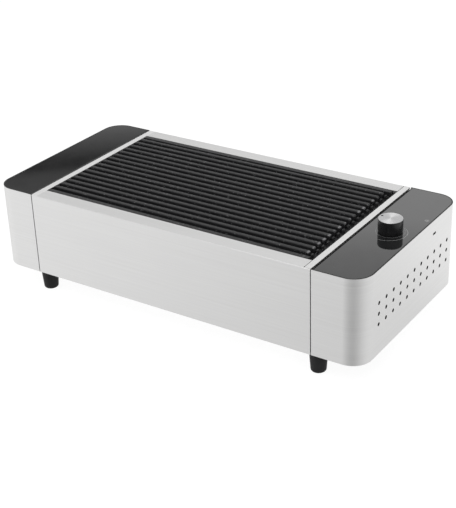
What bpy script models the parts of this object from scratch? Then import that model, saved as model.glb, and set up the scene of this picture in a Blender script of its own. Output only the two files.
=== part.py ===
"""Tabletop charcoal grill with a fan, built from separate pieces.

Metres, +Z up. The origin is on the table under the middle of the body, +X runs to the right,
towards the control end, and +Y runs to the back.
"""
import math

import bmesh
import bpy
from mathutils import Matrix

# Body, seen from outside
MID_LENGTH = 0.450
LEFT_END_LENGTH = 0.0675
RIGHT_END_LENGTH = 0.0725
BODY_DEPTH = 0.280
BODY_HEIGHT = 0.123
CORNER_RADIUS = 0.028
RIM_WIDTH = 0.0218
STRIP_WIDTH = 0.0094
SEAM_GAP = 0.0012

# Sheet metal
SHEET = 0.0012
BOTTOM_LIP = 0.0083
BASE_SHEET = 0.0015
BULKHEAD_FOOT = 0.012
FOOT_NOTCH = 0.010
LEDGE_DEPTH = 0.014
LEDGE_WIDTH = 0.006

# Fits
CLEAR = 0.0003
CUT_OVERRUN = 0.002

# Black top panels and the seals that they lie on
PANEL_THICKNESS = 0.003
PANEL_SEAM_INSET = 0.0034
SEAL_THICKNESS = 0.0008
PANEL_LEDGE = 0.007
PANEL_SEAM_LEDGE = 0.012

# Feet
FOOT_HEIGHT = 0.033
FOOT_TOP_RADIUS = 0.0128
FOOT_BOTTOM_RADIUS = 0.0103
FOOT_EDGE_RADIUS = 0.0035
FOOT_INSET = 0.021
FOOT_SOLE = 0.012
FOOT_SCREW_WELL = 0.0045

# Screws
FOOT_SCREW_RADIUS = 0.002
FOOT_SCREW_HEAD_RADIUS = 0.0038
FOOT_SCREW_HEAD = 0.0026
SMALL_SCREW_RADIUS = 0.0015
SMALL_SCREW_HEAD_RADIUS = 0.0026
SMALL_SCREW_HEAD = 0.0015
SCREW_END = 0.003
SCREW_DRIVE_RADIUS = 0.0011
SCREW_DRIVE_DEPTH = 0.0008
SCREW_EDGE_SHARE = 0.4
MID_SCREW_SPACING = 0.300
BASE_SCREW_INSET = 0.0054
END_SCREW_OFFSET = 0.030

# Vents and power slot in the right-hand end
VENT_COLUMNS = 11
VENT_ROWS = 3
VENT_FRONT_MARGIN = 0.0155
VENT_BACK_MARGIN = 0.0085
VENT_PITCH_Z = 0.0152
VENT_RADIUS = 0.0023
VENT_DROP = 0.0477
SLOT_Y = 0.0612
SLOT_DROP = 0.020
SLOT_WIDTH = 0.0094
SLOT_HEIGHT = 0.0030
SLOT_CORNER = 0.0012

# Grill grid
RIB_COUNT = 16
RIB_WIDTH = 0.0066
RIB_CHAMFER = 0.0007
RIB_PROUD = 0.0011
RIB_NOSE_RADIUS = 0.0030
FRAME_BAR_WIDTH = 0.0076
RIB_DROP_LENGTH = 0.0075
RIB_DROP = 0.0024
GRID_SIDE_PLAY = 0.0005
GRID_LEFT_PLAY = 0.0014
GRID_RIGHT_PLAY = 0.0070
GRID_END_BAR = 0.0065
CROSS_BAR_COUNT = 2
CROSS_BAR_WIDTH = 0.006
CROSS_BAR_HEIGHT = 0.004

# Fire bowl
BOWL_SHEET = 0.001
BOWL_PLAY = 0.0008
BOWL_CORNER = 0.009
BOWL_TAPER = 0.003
BOWL_FLOOR_GAP = 0.010
BOWL_INLET_RADIUS = 0.0165

# Charcoal basket, its lid and the tray for lighting gel
BASKET_LENGTH = 0.320
BASKET_WIDTH = 0.100
BASKET_HEIGHT = 0.046
BASKET_SHEET = 0.001
BASKET_CORNER = 0.008
BASKET_LEG = 0.012
BASKET_LEG_WIDTH = 0.010
BASKET_HOLE_RADIUS = 0.0035
BASKET_HOLE_COLUMNS = 10
BASKET_HOLE_ROWS = 2
BASKET_HOLE_MARGIN = 0.0295
BASKET_HOLE_PITCH_Z = 0.017
BASKET_SLOT_COUNT = 9
BASKET_SLOT_MARGIN = 0.032
BASKET_SLOT_WIDTH = 0.005
BASKET_SLOT_LENGTH = 0.068
LID_SKIRT = 0.006
LID_RISE = 0.006
LID_PLAY = 0.0008
TRAY_LENGTH = 0.280
TRAY_WIDTH = 0.080
TRAY_HEIGHT = 0.008
TRAY_SHEET = 0.001
TRAY_CORNER = 0.008

# Fan and duct
FAN_SIZE = 0.060
FAN_DEPTH = 0.020
FAN_CORNER = 0.004
FAN_BORE_RADIUS = 0.0285
FAN_HOLE_SPACING = 0.050
FAN_BOX_GAP = 0.0008
FAN_HUB_RADIUS = 0.0140
FAN_HUB_WALL = 0.0012
FAN_HUB_LENGTH = 0.0135
FAN_SPIDER = 0.002
FAN_SPIDER_ARM = 0.005
FAN_BLADES = 7
FAN_BLADE_THICKNESS = 0.0012
FAN_TIP_GAP = 0.0010
FAN_BLADE_TWIST = math.radians(30.0)
FAN_BLADE_SWEEP = math.radians(38.0)
MOTOR_LENGTH = 0.009
SHAFT_RADIUS = 0.0012
DUCT_WALL = 0.001
DUCT_FLANGE_RADIUS = 0.0395
DUCT_MOUTH_RADIUS = 0.0150
DUCT_BOWL_GAP = 0.0006

# Batteries
CELL_RADIUS = 0.00725
CELL_LENGTH = 0.0492
CELL_NUB_RADIUS = 0.0028
CELL_NUB = 0.0012
CELL_COUNT = 4
CELL_GAP = 0.0005
BOX_WALL = 0.0025
BOX_TAB = 0.009
BOX_START_X = 0.0034
BOX_FOOT_GAP = 0.0042
BOX_SKIRT = 0.0014
CONTACT_THICKNESS = 0.0006
CONTACT_HEIGHT = 0.011
DOOR_THICKNESS = 0.002
DOOR_TONGUE = 0.0011
DOOR_TONGUE_HEIGHT = 0.001
DOOR_GRIP_WIDTH = 0.030
DOOR_GRIP = 0.0007
DOOR_GRIP_COUNT = 4
DOOR_GRIP_PITCH = 0.004
DOOR_GRIP_START = 0.006

# Control knob and electronics
KNOB_RADIUS = 0.01635
KNOB_HEIGHT = 0.0190
KNOB_GAP = 0.0006
KNOB_X = 0.0371
KNOB_Y = 0.0015
KNOB_EDGE = 0.0006
KNOB_WALL = 0.0020
KNOB_WELL = 0.0085
KNOB_CAP = 0.0008
KNOB_CAP_RADIUS = 0.0161
KNOB_CAP_EDGE = 0.0003
POT_RADIUS = 0.0082
POT_BUSH_RADIUS = 0.0036
POT_BUSH_RISE = 0.0045
POT_SHAFT_RADIUS = 0.0030
POT_SHAFT_TOP = 0.0140
NUT_FLATS = 0.010
NUT_HEIGHT = 0.0020
BOARD_THICKNESS = 0.0016
BOARD_WIDTH = 0.046
BOARD_START_Y = 0.024
BOARD_END_Y = 0.078
SOCKET_WIDTH = 0.0076
SOCKET_HEIGHT = 0.0028
SOCKET_LENGTH = 0.0056
SOCKET_WALL = 0.0004

# Facets
ARC_STEPS = 8
CORNER_STEPS = 4
KNOB_STEPS = 40
ROUND_STEPS = 32
FOOT_STEPS = 20
FOOT_EDGE_STEPS = 3
BLADE_SECTIONS = 3
SMALL_ROUND_STEPS = 12
HOLE_STEPS = 8
BASKET_HOLE_STEPS = 6

# Places worked out from the sizes
BODY_LENGTH = LEFT_END_LENGTH + MID_LENGTH + RIGHT_END_LENGTH
X_LEFT = -BODY_LENGTH / 2
X_RIGHT = BODY_LENGTH / 2
X_SEAM_LEFT = X_LEFT + LEFT_END_LENGTH
X_SEAM_RIGHT = X_RIGHT - RIGHT_END_LENGTH
X_MID_LEFT = X_SEAM_LEFT + SEAM_GAP / 2
X_MID_RIGHT = X_SEAM_RIGHT - SEAM_GAP / 2
Y_FRONT = -BODY_DEPTH / 2
Y_BACK = BODY_DEPTH / 2
Z_BOTTOM = FOOT_HEIGHT
Z_TOP = FOOT_HEIGHT + BODY_HEIGHT
Z_BASE_UNDER = Z_BOTTOM + SHEET + CLEAR
Z_BASE_TOP = Z_BASE_UNDER + BASE_SHEET
OPEN_LEFT = X_SEAM_LEFT + STRIP_WIDTH
OPEN_RIGHT = X_SEAM_RIGHT - STRIP_WIDTH
OPEN_FRONT = Y_FRONT + RIM_WIDTH
OPEN_BACK = Y_BACK - RIM_WIDTH
Z_LEDGE = Z_TOP - LEDGE_DEPTH
Z_FLANGE = Z_LEDGE + CLEAR
Z_GRID = Z_FLANGE + BOWL_SHEET + CLEAR
Z_RIB = Z_TOP + RIB_PROUD
Z_GRID_BAR = Z_GRID + CROSS_BAR_HEIGHT
Z_SEAL = Z_TOP - PANEL_THICKNESS - CLEAR - SEAL_THICKNESS
Z_PANEL_LEDGE = Z_SEAL - CLEAR
Z_BOWL = Z_BASE_TOP + BOWL_FLOOR_GAP
Z_DOOR_TOP = Z_BASE_UNDER - CLEAR
Z_DOOR_UNDER = Z_DOOR_TOP - DOOR_THICKNESS
Z_CELL_AXIS = Z_DOOR_TOP + 2 * CLEAR + CELL_RADIUS
Z_BOX_CEILING = Z_CELL_AXIS + CELL_RADIUS + 2 * CLEAR
FAN_Z = Z_BOX_CEILING + BOX_WALL + FAN_BOX_GAP + FAN_SIZE / 2
KNOB_AXIS_X = X_SEAM_RIGHT + KNOB_X


def clear_scene():
    for old in list(bpy.data.objects):
        bpy.data.objects.remove(old, do_unlink=True)


def material(name, color, metallic, roughness):
    """A Principled material with the piece's own colour."""
    mat = bpy.data.materials.get(name) or bpy.data.materials.new(name)
    mat.use_nodes = True
    shader = mat.node_tree.nodes["Principled BSDF"]
    shader.inputs["Base Color"].default_value = (*color, 1.0)
    shader.inputs["Metallic"].default_value = metallic
    shader.inputs["Roughness"].default_value = roughness
    return mat


def steel():
    return material("brushed_steel", (0.62, 0.61, 0.60), 1.0, 0.32)


def black_glass():
    return material("black_glass", (0.012, 0.012, 0.013), 0.0, 0.06)


def black_plastic():
    return material("black_plastic", (0.02, 0.02, 0.02), 0.0, 0.45)


def zinc():
    return material("zinc_screw", (0.55, 0.55, 0.56), 1.0, 0.35)


def add_object(name, bm, mat=None, origin=(0.0, 0.0, 0.0)):
    """Turn a bmesh in world coordinates into an object with the given origin."""
    bmesh.ops.translate(bm, verts=bm.verts, vec=[-c for c in origin])
    bmesh.ops.recalc_face_normals(bm, faces=bm.faces)
    mesh = bpy.data.meshes.new(name)
    bm.to_mesh(mesh)
    bm.free()
    obj = bpy.data.objects.new(name, mesh)
    obj.location = origin
    bpy.context.scene.collection.objects.link(obj)
    if mat:
        mesh.materials.append(mat)
    return obj


def shade_round(obj):
    obj.data.shade_smooth()
    obj.data.set_sharp_from_angle(angle=math.radians(35.0))
    return obj


def boolean(obj, tool, operation="DIFFERENCE"):
    """Cut or join with a hidden tool object that stays live."""
    tool.hide_render = True
    tool.display_type = "WIRE"
    mod = obj.modifiers.new(tool.name, "BOOLEAN")
    mod.operation = operation
    mod.object = tool
    return obj


def loft(bm, lower, upper):
    """Close two outlines of as many (x, y, z) points each into one body."""
    low = [bm.verts.new(p) for p in lower]
    high = [bm.verts.new(p) for p in upper]
    count = len(low)
    bm.faces.new(list(reversed(low)))
    bm.faces.new(high)
    for i in range(count):
        j = (i + 1) % count
        bm.faces.new((low[i], low[j], high[j], high[i]))


def prism_mesh(bm, outline, z0, z1):
    loft(bm, [(x, y, z0) for x, y in outline], [(x, y, z1) for x, y in outline])


def prism(name, outline, z0, z1, mat=None, origin=(0.0, 0.0, 0.0)):
    bm = bmesh.new()
    prism_mesh(bm, outline, z0, z1)
    return add_object(name, bm, mat, origin)


def boxes(name, extents, mat=None, origin=(0.0, 0.0, 0.0)):
    """One object of boxes given as (x0, x1, y0, y1, z0, z1)."""
    bm = bmesh.new()
    for x0, x1, y0, y1, z0, z1 in extents:
        prism_mesh(bm, [(x0, y0), (x1, y0), (x1, y1), (x0, y1)], z0, z1)
    return add_object(name, bm, mat, origin)


def profile_along_y(name, outline, y0, y1, mat=None):
    """Extrude an (x, z) outline along Y."""
    bm = bmesh.new()
    loft(bm, [(x, y0, z) for x, z in outline], [(x, y1, z) for x, z in outline])
    return add_object(name, bm, mat)


def profile_along_x(bm, outline, x0, x1):
    """Extrude a (y, z) outline along X."""
    loft(bm, [(x0, y, z) for y, z in outline], [(x1, y, z) for y, z in outline])


def round_rect(x0, x1, y0, y1, radius, steps=ARC_STEPS):
    """Rectangle with round corners, anticlockwise from the right of its lower side."""
    points = []
    corners = [(x1 - radius, y0 + radius, -90), (x1 - radius, y1 - radius, 0),
               (x0 + radius, y1 - radius, 90), (x0 + radius, y0 + radius, 180)]
    for cx, cy, start in corners:
        for i in range(steps + 1):
            a = math.radians(start + 90.0 * i / steps)
            points.append((cx + radius * math.cos(a), cy + radius * math.sin(a)))
    return points


def end_outline(side, inset, x_seam):
    """Outline of one end of the body, square at the seam and round at its two outer corners."""
    outer = abs(X_RIGHT if side > 0 else X_LEFT) - inset
    half = BODY_DEPTH / 2 - inset
    radius = CORNER_RADIUS - inset
    points = [(abs(x_seam), -half)]
    for cy, start in ((-half + radius, -90), (half - radius, 0)):
        for i in range(ARC_STEPS + 1):
            a = math.radians(start + 90.0 * i / ARC_STEPS)
            points.append((outer - radius + radius * math.cos(a), cy + radius * math.sin(a)))
    points.append((abs(x_seam), half))
    return [(side * x, y) for x, y in points]


def turned(name, profile, centre, axis="Z", steps=ROUND_STEPS, mat=None, origin=None, turn=0.0):
    """Spin a closed (radius, height) profile about the axis; points on the axis close the poles."""
    bm = bmesh.new()
    rings = []
    for r, h in profile:
        if r == 0:
            rings.append([bm.verts.new((0.0, 0.0, h))])
            continue
        ring = []
        for i in range(steps):
            a = turn + 2 * math.pi * i / steps
            ring.append(bm.verts.new((r * math.cos(a), r * math.sin(a), h)))
        rings.append(ring)
    for k, low in enumerate(rings):
        high = rings[(k + 1) % len(rings)]
        for i in range(steps):
            j = (i + 1) % steps
            if len(low) == 1 and len(high) == 1:
                break
            if len(low) == 1:
                bm.faces.new((low[0], high[j], high[i]))
            elif len(high) == 1:
                bm.faces.new((low[i], low[j], high[0]))
            else:
                bm.faces.new((low[i], low[j], high[j], high[i]))
    if axis == "X":
        bmesh.ops.rotate(bm, verts=bm.verts, matrix=Matrix.Rotation(math.pi / 2, 3, "Y"))
    if axis == "Y":
        bmesh.ops.rotate(bm, verts=bm.verts, matrix=Matrix.Rotation(-math.pi / 2, 3, "X"))
    bmesh.ops.translate(bm, verts=bm.verts, vec=centre)
    return add_object(name, bm, mat, centre if origin is None else origin)


def rods(name, places, axis, radius, length, steps=HOLE_STEPS):
    """One object of round rods, centred on the given places, for cutting holes."""
    bm = bmesh.new()
    turn = Matrix.Identity(4)
    if axis == "X":
        turn = Matrix.Rotation(math.pi / 2, 4, "Y")
    if axis == "Y":
        turn = Matrix.Rotation(math.pi / 2, 4, "X")
    for place in places:
        bmesh.ops.create_cone(bm, cap_ends=True, segments=steps, radius1=radius, radius2=radius,
                              depth=length, matrix=Matrix.Translation(place) @ turn)
    return add_object(name, bm)


def base_screw_places():
    y = Y_BACK - BASE_SCREW_INSET
    xs = [-MID_SCREW_SPACING / 2, MID_SCREW_SPACING / 2,
          X_SEAM_LEFT - END_SCREW_OFFSET, X_SEAM_RIGHT + END_SCREW_OFFSET]
    return [(x, s * y) for x in xs for s in (-1, 1)]


def foot_places():
    y = Y_BACK - FOOT_INSET
    return [(x, s * y) for x in (X_SEAM_LEFT, X_SEAM_RIGHT) for s in (-1, 1)]


def fan_hole_places(x):
    half = FAN_HOLE_SPACING / 2
    return [(x, sy * half, FAN_Z + sz * half) for sy in (-1, 1) for sz in (-1, 1)]


def battery_bay():
    """Outer limits of the battery box: x0, x1, y0, y1."""
    x0 = X_SEAM_RIGHT + BOX_START_X
    length = CELL_LENGTH + CELL_NUB + 2 * (CONTACT_THICKNESS + 2 * CLEAR) + 2 * BOX_WALL
    row = CELL_COUNT * 2 * CELL_RADIUS + (CELL_COUNT + 1) * CELL_GAP + 2 * BOX_WALL
    y0 = Y_FRONT + FOOT_INSET + FOOT_TOP_RADIUS + BOX_FOOT_GAP
    return x0, x0 + length, y0, y0 + row


def box_screw_places():
    x0, x1, y0, y1 = battery_bay()
    return [((x0 + x1) / 2, y0 - BOX_TAB / 2), ((x0 + x1) / 2, y1 + BOX_TAB / 2)]


def make_base_plate():
    inset = SHEET + CLEAR
    outline = round_rect(X_LEFT + inset, X_RIGHT - inset, Y_FRONT + inset, Y_BACK - inset,
                         CORNER_RADIUS - inset)
    plate = prism("base_plate", outline, Z_BASE_UNDER, Z_BASE_TOP, steel())
    through = BASE_SHEET + 2 * CUT_OVERRUN
    middle = (Z_BASE_UNDER + Z_BASE_TOP) / 2
    small = [(x, y, middle) for x, y in base_screw_places() + box_screw_places()]
    boolean(plate, rods("cut_base_screws", small, "Z", SMALL_SCREW_RADIUS + CLEAR, through))
    large = [(x, y, middle) for x, y in foot_places()]
    boolean(plate, rods("cut_foot_screws", large, "Z", FOOT_SCREW_RADIUS + CLEAR, through))
    x0, x1, y0, y1 = battery_bay()
    hole = (x0 - CLEAR, x1 + CLEAR, y0 - CLEAR, y1 + CLEAR,
            Z_BASE_UNDER - CUT_OVERRUN, Z_BASE_TOP + CUT_OVERRUN)
    boolean(plate, boxes("cut_battery_hole", [hole]))


def make_centre_shell():
    shell = boxes("centre_shell", [(X_MID_LEFT, X_MID_RIGHT, Y_FRONT, Y_BACK, Z_BOTTOM, Z_TOP)], steel())
    past_left = X_MID_LEFT - CUT_OVERRUN
    past_right = X_MID_RIGHT + CUT_OVERRUN
    inside = (past_left, past_right, Y_FRONT + SHEET, Y_BACK - SHEET, Z_BOTTOM + SHEET, Z_TOP - SHEET)
    boolean(shell, boxes("cut_centre_inside", [inside]))
    under = (past_left, past_right, Y_FRONT + BOTTOM_LIP, Y_BACK - BOTTOM_LIP,
             Z_BOTTOM - CUT_OVERRUN, Z_BOTTOM + SHEET + CUT_OVERRUN)
    boolean(shell, boxes("cut_centre_under", [under]))
    opening = (OPEN_LEFT, past_right, OPEN_FRONT, OPEN_BACK, Z_TOP - SHEET - CUT_OVERRUN, Z_TOP + CUT_OVERRUN)
    boolean(shell, boxes("cut_centre_opening", [opening]))
    seat = (OPEN_RIGHT - CLEAR, past_right, Y_FRONT + SHEET, Y_BACK - SHEET,
            Z_TOP - SHEET - CUT_OVERRUN, Z_TOP + CUT_OVERRUN)
    boolean(shell, boxes("cut_strip_seat", [seat]))
    lip_holes = [(x, y, Z_BOTTOM) for x, y in base_screw_places() if X_SEAM_LEFT < x < X_SEAM_RIGHT]
    boolean(shell, rods("cut_centre_lip", lip_holes, "Z", SMALL_SCREW_RADIUS + CLEAR,
                        2 * SHEET + CUT_OVERRUN))


def bulkhead_notches(name, x):
    """Room round the foot screws, where the bulkhead stands over the seam."""
    z0 = Z_BASE_TOP - CUT_OVERRUN
    z1 = Z_BASE_TOP + FOOT_NOTCH
    half = FOOT_NOTCH
    spans = []
    for s in (-1, 1):
        y = s * (Y_BACK - FOOT_INSET)
        spans.append((x - BULKHEAD_FOOT - CUT_OVERRUN, x + BULKHEAD_FOOT + CUT_OVERRUN,
                      y - half, y + half, z0, z1))
    return boxes(name, spans)


def make_left_bulkhead():
    foot_z = Z_BASE_TOP + CLEAR
    top = Z_TOP - SHEET - CLEAR
    x = X_MID_LEFT
    outline = [(x, foot_z), (x + BULKHEAD_FOOT, foot_z), (x + BULKHEAD_FOOT, foot_z + SHEET),
               (x + SHEET, foot_z + SHEET), (x + SHEET, top), (x, top)]
    half = Y_BACK - SHEET - CLEAR
    plate = profile_along_y("left_bulkhead", outline, -half, half, steel())
    boolean(plate, bulkhead_notches("cut_left_notches", X_SEAM_LEFT))


def make_right_bulkhead():
    """Plate over the right-hand seam; its top is bent over into the strip beside the grid."""
    foot_z = Z_BASE_TOP + CLEAR
    x = X_MID_RIGHT
    outline = [(x, foot_z), (x, Z_TOP), (OPEN_RIGHT, Z_TOP), (OPEN_RIGHT, Z_TOP - SHEET),
               (x - SHEET, Z_TOP - SHEET), (x - SHEET, foot_z + SHEET),
               (x - BULKHEAD_FOOT, foot_z + SHEET), (x - BULKHEAD_FOOT, foot_z)]
    half = Y_BACK - SHEET - CLEAR
    plate = profile_along_y("right_bulkhead", outline, -half, half, steel())
    boolean(plate, bulkhead_notches("cut_right_notches", X_SEAM_RIGHT))
    air = rods("cut_air_way", [(x, 0.0, FAN_Z)], "X", FAN_BORE_RADIUS, 2 * SHEET + CUT_OVERRUN, ROUND_STEPS)
    boolean(plate, air)
    boolean(plate, rods("cut_fan_screws", fan_hole_places(x), "X", SMALL_SCREW_RADIUS + CLEAR,
                        2 * SHEET + CUT_OVERRUN))


def make_bowl_support():
    """Flat ledge that the bowl hangs on, between the bulkheads, and two collars up to the rim."""
    x0 = X_MID_LEFT + SHEET + CLEAR
    x1 = X_MID_RIGHT - SHEET - CLEAR
    ledge = boxes("bowl_ledge", [(x0, x1, OPEN_FRONT - SHEET, OPEN_BACK + SHEET, Z_LEDGE - SHEET, Z_LEDGE)],
                  steel())
    through = (OPEN_LEFT + LEDGE_WIDTH, OPEN_RIGHT - LEDGE_WIDTH, OPEN_FRONT + LEDGE_WIDTH,
               OPEN_BACK - LEDGE_WIDTH, Z_LEDGE - SHEET - CUT_OVERRUN, Z_LEDGE + CUT_OVERRUN)
    boolean(ledge, boxes("cut_ledge", [through]))
    z0 = Z_LEDGE + CLEAR
    z1 = Z_TOP - SHEET - CLEAR
    boxes("collar_front", [(x0, x1, OPEN_FRONT - SHEET, OPEN_FRONT, z0, z1)], steel())
    boxes("collar_back", [(x0, x1, OPEN_BACK, OPEN_BACK + SHEET, z0, z1)], steel())


def make_end_shell(name, side):
    """Wrapped end cap with a lip below for the base plate and a ledge above for the panel."""
    x_seam = (X_SEAM_RIGHT if side > 0 else X_SEAM_LEFT) + side * SEAM_GAP / 2
    x_open = x_seam - side * CUT_OVERRUN
    shell = prism(name, end_outline(side, 0.0, x_seam), Z_BOTTOM, Z_TOP, steel())
    ledge_under = Z_PANEL_LEDGE - SHEET
    boolean(shell, prism("cut_" + name + "_inside", end_outline(side, SHEET, x_open),
                         Z_BOTTOM + SHEET, ledge_under))
    boolean(shell, prism("cut_" + name + "_under", end_outline(side, BOTTOM_LIP, x_open),
                         Z_BOTTOM - CUT_OVERRUN, Z_BOTTOM + SHEET + CUT_OVERRUN))
    boolean(shell, prism("cut_" + name + "_seat", end_outline(side, SHEET, x_open),
                         Z_PANEL_LEDGE, Z_TOP + CUT_OVERRUN))
    boolean(shell, prism("cut_" + name + "_ledge",
                         end_outline(side, SHEET + PANEL_LEDGE, x_seam + side * PANEL_SEAM_LEDGE),
                         ledge_under - CUT_OVERRUN, Z_PANEL_LEDGE + CUT_OVERRUN))
    lip_holes = [(x, y, Z_BOTTOM) for x, y in base_screw_places() if side * x > side * x_seam]
    boolean(shell, rods("cut_" + name + "_lip", lip_holes, "Z", SMALL_SCREW_RADIUS + CLEAR,
                        2 * SHEET + CUT_OVERRUN))
    return shade_round(shell)


def cut_vents(shell):
    places = []
    first_y = Y_FRONT + CORNER_RADIUS + VENT_FRONT_MARGIN
    last_y = Y_BACK - CORNER_RADIUS - VENT_BACK_MARGIN
    pitch_y = (last_y - first_y) / (VENT_COLUMNS - 1)
    for row in range(VENT_ROWS):
        for column in range(VENT_COLUMNS):
            places.append((X_RIGHT, first_y + column * pitch_y,
                           Z_TOP - VENT_DROP - row * VENT_PITCH_Z))
    boolean(shell, rods("cut_vents", places, "X", VENT_RADIUS, 2 * SHEET + CUT_OVERRUN))


def cut_power_slot(shell):
    z = Z_TOP - SLOT_DROP
    outline = round_rect(SLOT_Y - SLOT_WIDTH / 2, SLOT_Y + SLOT_WIDTH / 2,
                         z - SLOT_HEIGHT / 2, z + SLOT_HEIGHT / 2, SLOT_CORNER, CORNER_STEPS)
    bm = bmesh.new()
    profile_along_x(bm, outline, X_RIGHT - SHEET - CUT_OVERRUN, X_RIGHT + CUT_OVERRUN)
    boolean(shell, add_object("cut_power_slot", bm))


def make_panel(name, seal_name, side):
    """Black glass panel and the soft seal that it is bonded to."""
    x_seam = X_SEAM_RIGHT if side > 0 else X_SEAM_LEFT
    inset = SHEET + CLEAR
    glass = prism(name, end_outline(side, inset, x_seam + side * PANEL_SEAM_INSET),
                  Z_TOP - PANEL_THICKNESS, Z_TOP, black_glass())
    shade_round(glass)
    seal_seam = x_seam + side * (SEAM_GAP / 2 + CLEAR)
    seal = prism(seal_name, end_outline(side, inset, seal_seam), Z_SEAL, Z_SEAL + SEAL_THICKNESS,
                 material("black_foam", (0.01, 0.01, 0.01), 0.0, 0.9))
    hole = end_outline(side, SHEET + PANEL_LEDGE, x_seam + side * PANEL_SEAM_LEDGE)
    boolean(seal, prism("cut_" + seal_name, hole, Z_SEAL - CUT_OVERRUN, Z_SEAL + 2 * CUT_OVERRUN))
    return glass


def cut_bush_hole(glass):
    boolean(glass, rods("cut_bush_hole", [(KNOB_AXIS_X, KNOB_Y, Z_TOP - PANEL_THICKNESS / 2)], "Z",
                        POT_BUSH_RADIUS + CLEAR, PANEL_THICKNESS + 2 * CUT_OVERRUN, SMALL_ROUND_STEPS))


def grid_limits():
    """Ends of the grid, and half of its depth."""
    half = (OPEN_BACK - OPEN_FRONT) / 2 - GRID_SIDE_PLAY
    return OPEN_LEFT + GRID_LEFT_PLAY, OPEN_RIGHT - GRID_RIGHT_PLAY, half


def grid_gaps():
    """Front and back of each gap between the ribs."""
    half = grid_limits()[2]
    pitch = (2 * half - RIB_WIDTH) / (RIB_COUNT + 1)
    gaps = []
    for i in range(RIB_COUNT + 1):
        y0 = -half + RIB_WIDTH + i * pitch
        y1 = y0 + pitch - RIB_WIDTH
        gaps.append((max(y0, -half + FRAME_BAR_WIDTH), min(y1, half - FRAME_BAR_WIDTH)))
    return gaps


def cut_rib_gaps(grid):
    """Gaps over the low bars: they run out at the left and stop at the bar on the right."""
    x0, x1, _ = grid_limits()
    over = Z_RIB + CUT_OVERRUN
    bm = bmesh.new()
    for y0, y1 in grid_gaps():
        profile_along_x(bm, [(y0, Z_GRID_BAR), (y1, Z_GRID_BAR), (y1, Z_RIB - RIB_CHAMFER),
                             (y1 + RIB_CHAMFER, Z_RIB), (y1 + RIB_CHAMFER, over),
                             (y0 - RIB_CHAMFER, over), (y0 - RIB_CHAMFER, Z_RIB),
                             (y0, Z_RIB - RIB_CHAMFER)], x0 - CUT_OVERRUN, x1 - GRID_END_BAR)
    boolean(grid, add_object("cut_grid_gaps", bm))


def cut_grid_openings(grid):
    """Openings right through the grid, between the end bars and the cross bars."""
    x0, x1, _ = grid_limits()
    first = x0 + GRID_END_BAR
    bay = (x1 - GRID_END_BAR - first) / (CROSS_BAR_COUNT + 1)
    half_bar = CROSS_BAR_WIDTH / 2
    low = Z_GRID - CUT_OVERRUN
    high = Z_GRID_BAR + CUT_OVERRUN
    bm = bmesh.new()
    for y0, y1 in grid_gaps():
        for k in range(CROSS_BAR_COUNT + 1):
            a = first + k * bay + (half_bar if k > 0 else 0.0)
            b = first + (k + 1) * bay - (half_bar if k < CROSS_BAR_COUNT else 0.0)
            profile_along_x(bm, [(y0, low), (y1, low), (y1, high), (y0, high)], a, b)
    boolean(grid, add_object("cut_grid_openings", bm))


def cut_frame_bars(grid):
    """The bars along the front and the back are flush with the rim, not proud like the ribs."""
    x0, x1, half = grid_limits()
    inner = half - FRAME_BAR_WIDTH - RIB_CHAMFER
    past = half + CUT_OVERRUN
    bars = []
    for y0, y1 in ((-past, -inner), (inner, past)):
        bars.append((x0 - CUT_OVERRUN, x1 + CUT_OVERRUN, y0, y1, Z_TOP, Z_RIB + CUT_OVERRUN))
    boolean(grid, boxes("cut_grid_bars", bars))


def cut_rib_ends(grid):
    """Round noses on the left, and on the right a drop to a lower bar for a lifting tool."""
    x0, x1, half = grid_limits()
    n = RIB_NOSE_RADIUS
    x_drop = x1 - RIB_DROP_LENGTH
    high = Z_RIB + CUT_OVERRUN
    nose = []
    drop = []
    for i in range(CORNER_STEPS + 1):
        a = math.radians(90.0 * i / CORNER_STEPS)
        nose.append((x0 + n - n * math.sin(a), Z_RIB - n + n * math.cos(a)))
        drop.append((x_drop + RIB_DROP * math.sin(a), Z_RIB - RIB_DROP * (1 - math.cos(a))))
    nose += [(x0 - CUT_OVERRUN, Z_RIB - n), (x0 - CUT_OVERRUN, high), (x0 + n, high)]
    drop += [(x1 + CUT_OVERRUN, Z_RIB - RIB_DROP), (x1 + CUT_OVERRUN, high), (x_drop, high)]
    past = half + CUT_OVERRUN
    boolean(grid, profile_along_y("cut_grid_nose", nose, -past, past))
    boolean(grid, profile_along_y("cut_grid_drop", drop, -past, past))


def make_grid():
    """Cast grid: ribs along X over low cross bars, with a bar along the front and the back."""
    x0, x1, half = grid_limits()
    iron = material("cast_enamel", (0.03, 0.03, 0.032), 0.0, 0.5)
    grid = boxes("grill_grid", [(x0, x1, -half, half, Z_GRID, Z_RIB)], iron, (x0, 0.0, Z_GRID))
    cut_rib_gaps(grid)
    cut_grid_openings(grid)
    cut_frame_bars(grid)
    cut_rib_ends(grid)


def bowl_limits(z, inset=0.0):
    """Outside of the bowl's wall at a height, as x0, x1, y0, y1."""
    edge = LEDGE_WIDTH + BOWL_PLAY
    down = (Z_FLANGE - z) / (Z_FLANGE - Z_BOWL)
    shrink = edge + BOWL_TAPER * down + inset
    return OPEN_LEFT + shrink, OPEN_RIGHT - shrink, OPEN_FRONT + shrink, OPEN_BACK - shrink


def lofted_tub(name, z0, z1, inset, mat=None, origin=(0.0, 0.0, 0.0)):
    bm = bmesh.new()
    lower = round_rect(*bowl_limits(z0, inset), BOWL_CORNER, CORNER_STEPS)
    upper = round_rect(*bowl_limits(z1, inset), BOWL_CORNER, CORNER_STEPS)
    loft(bm, [(x, y, z0) for x, y in lower], [(x, y, z1) for x, y in upper])
    return add_object(name, bm, mat, origin)


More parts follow.
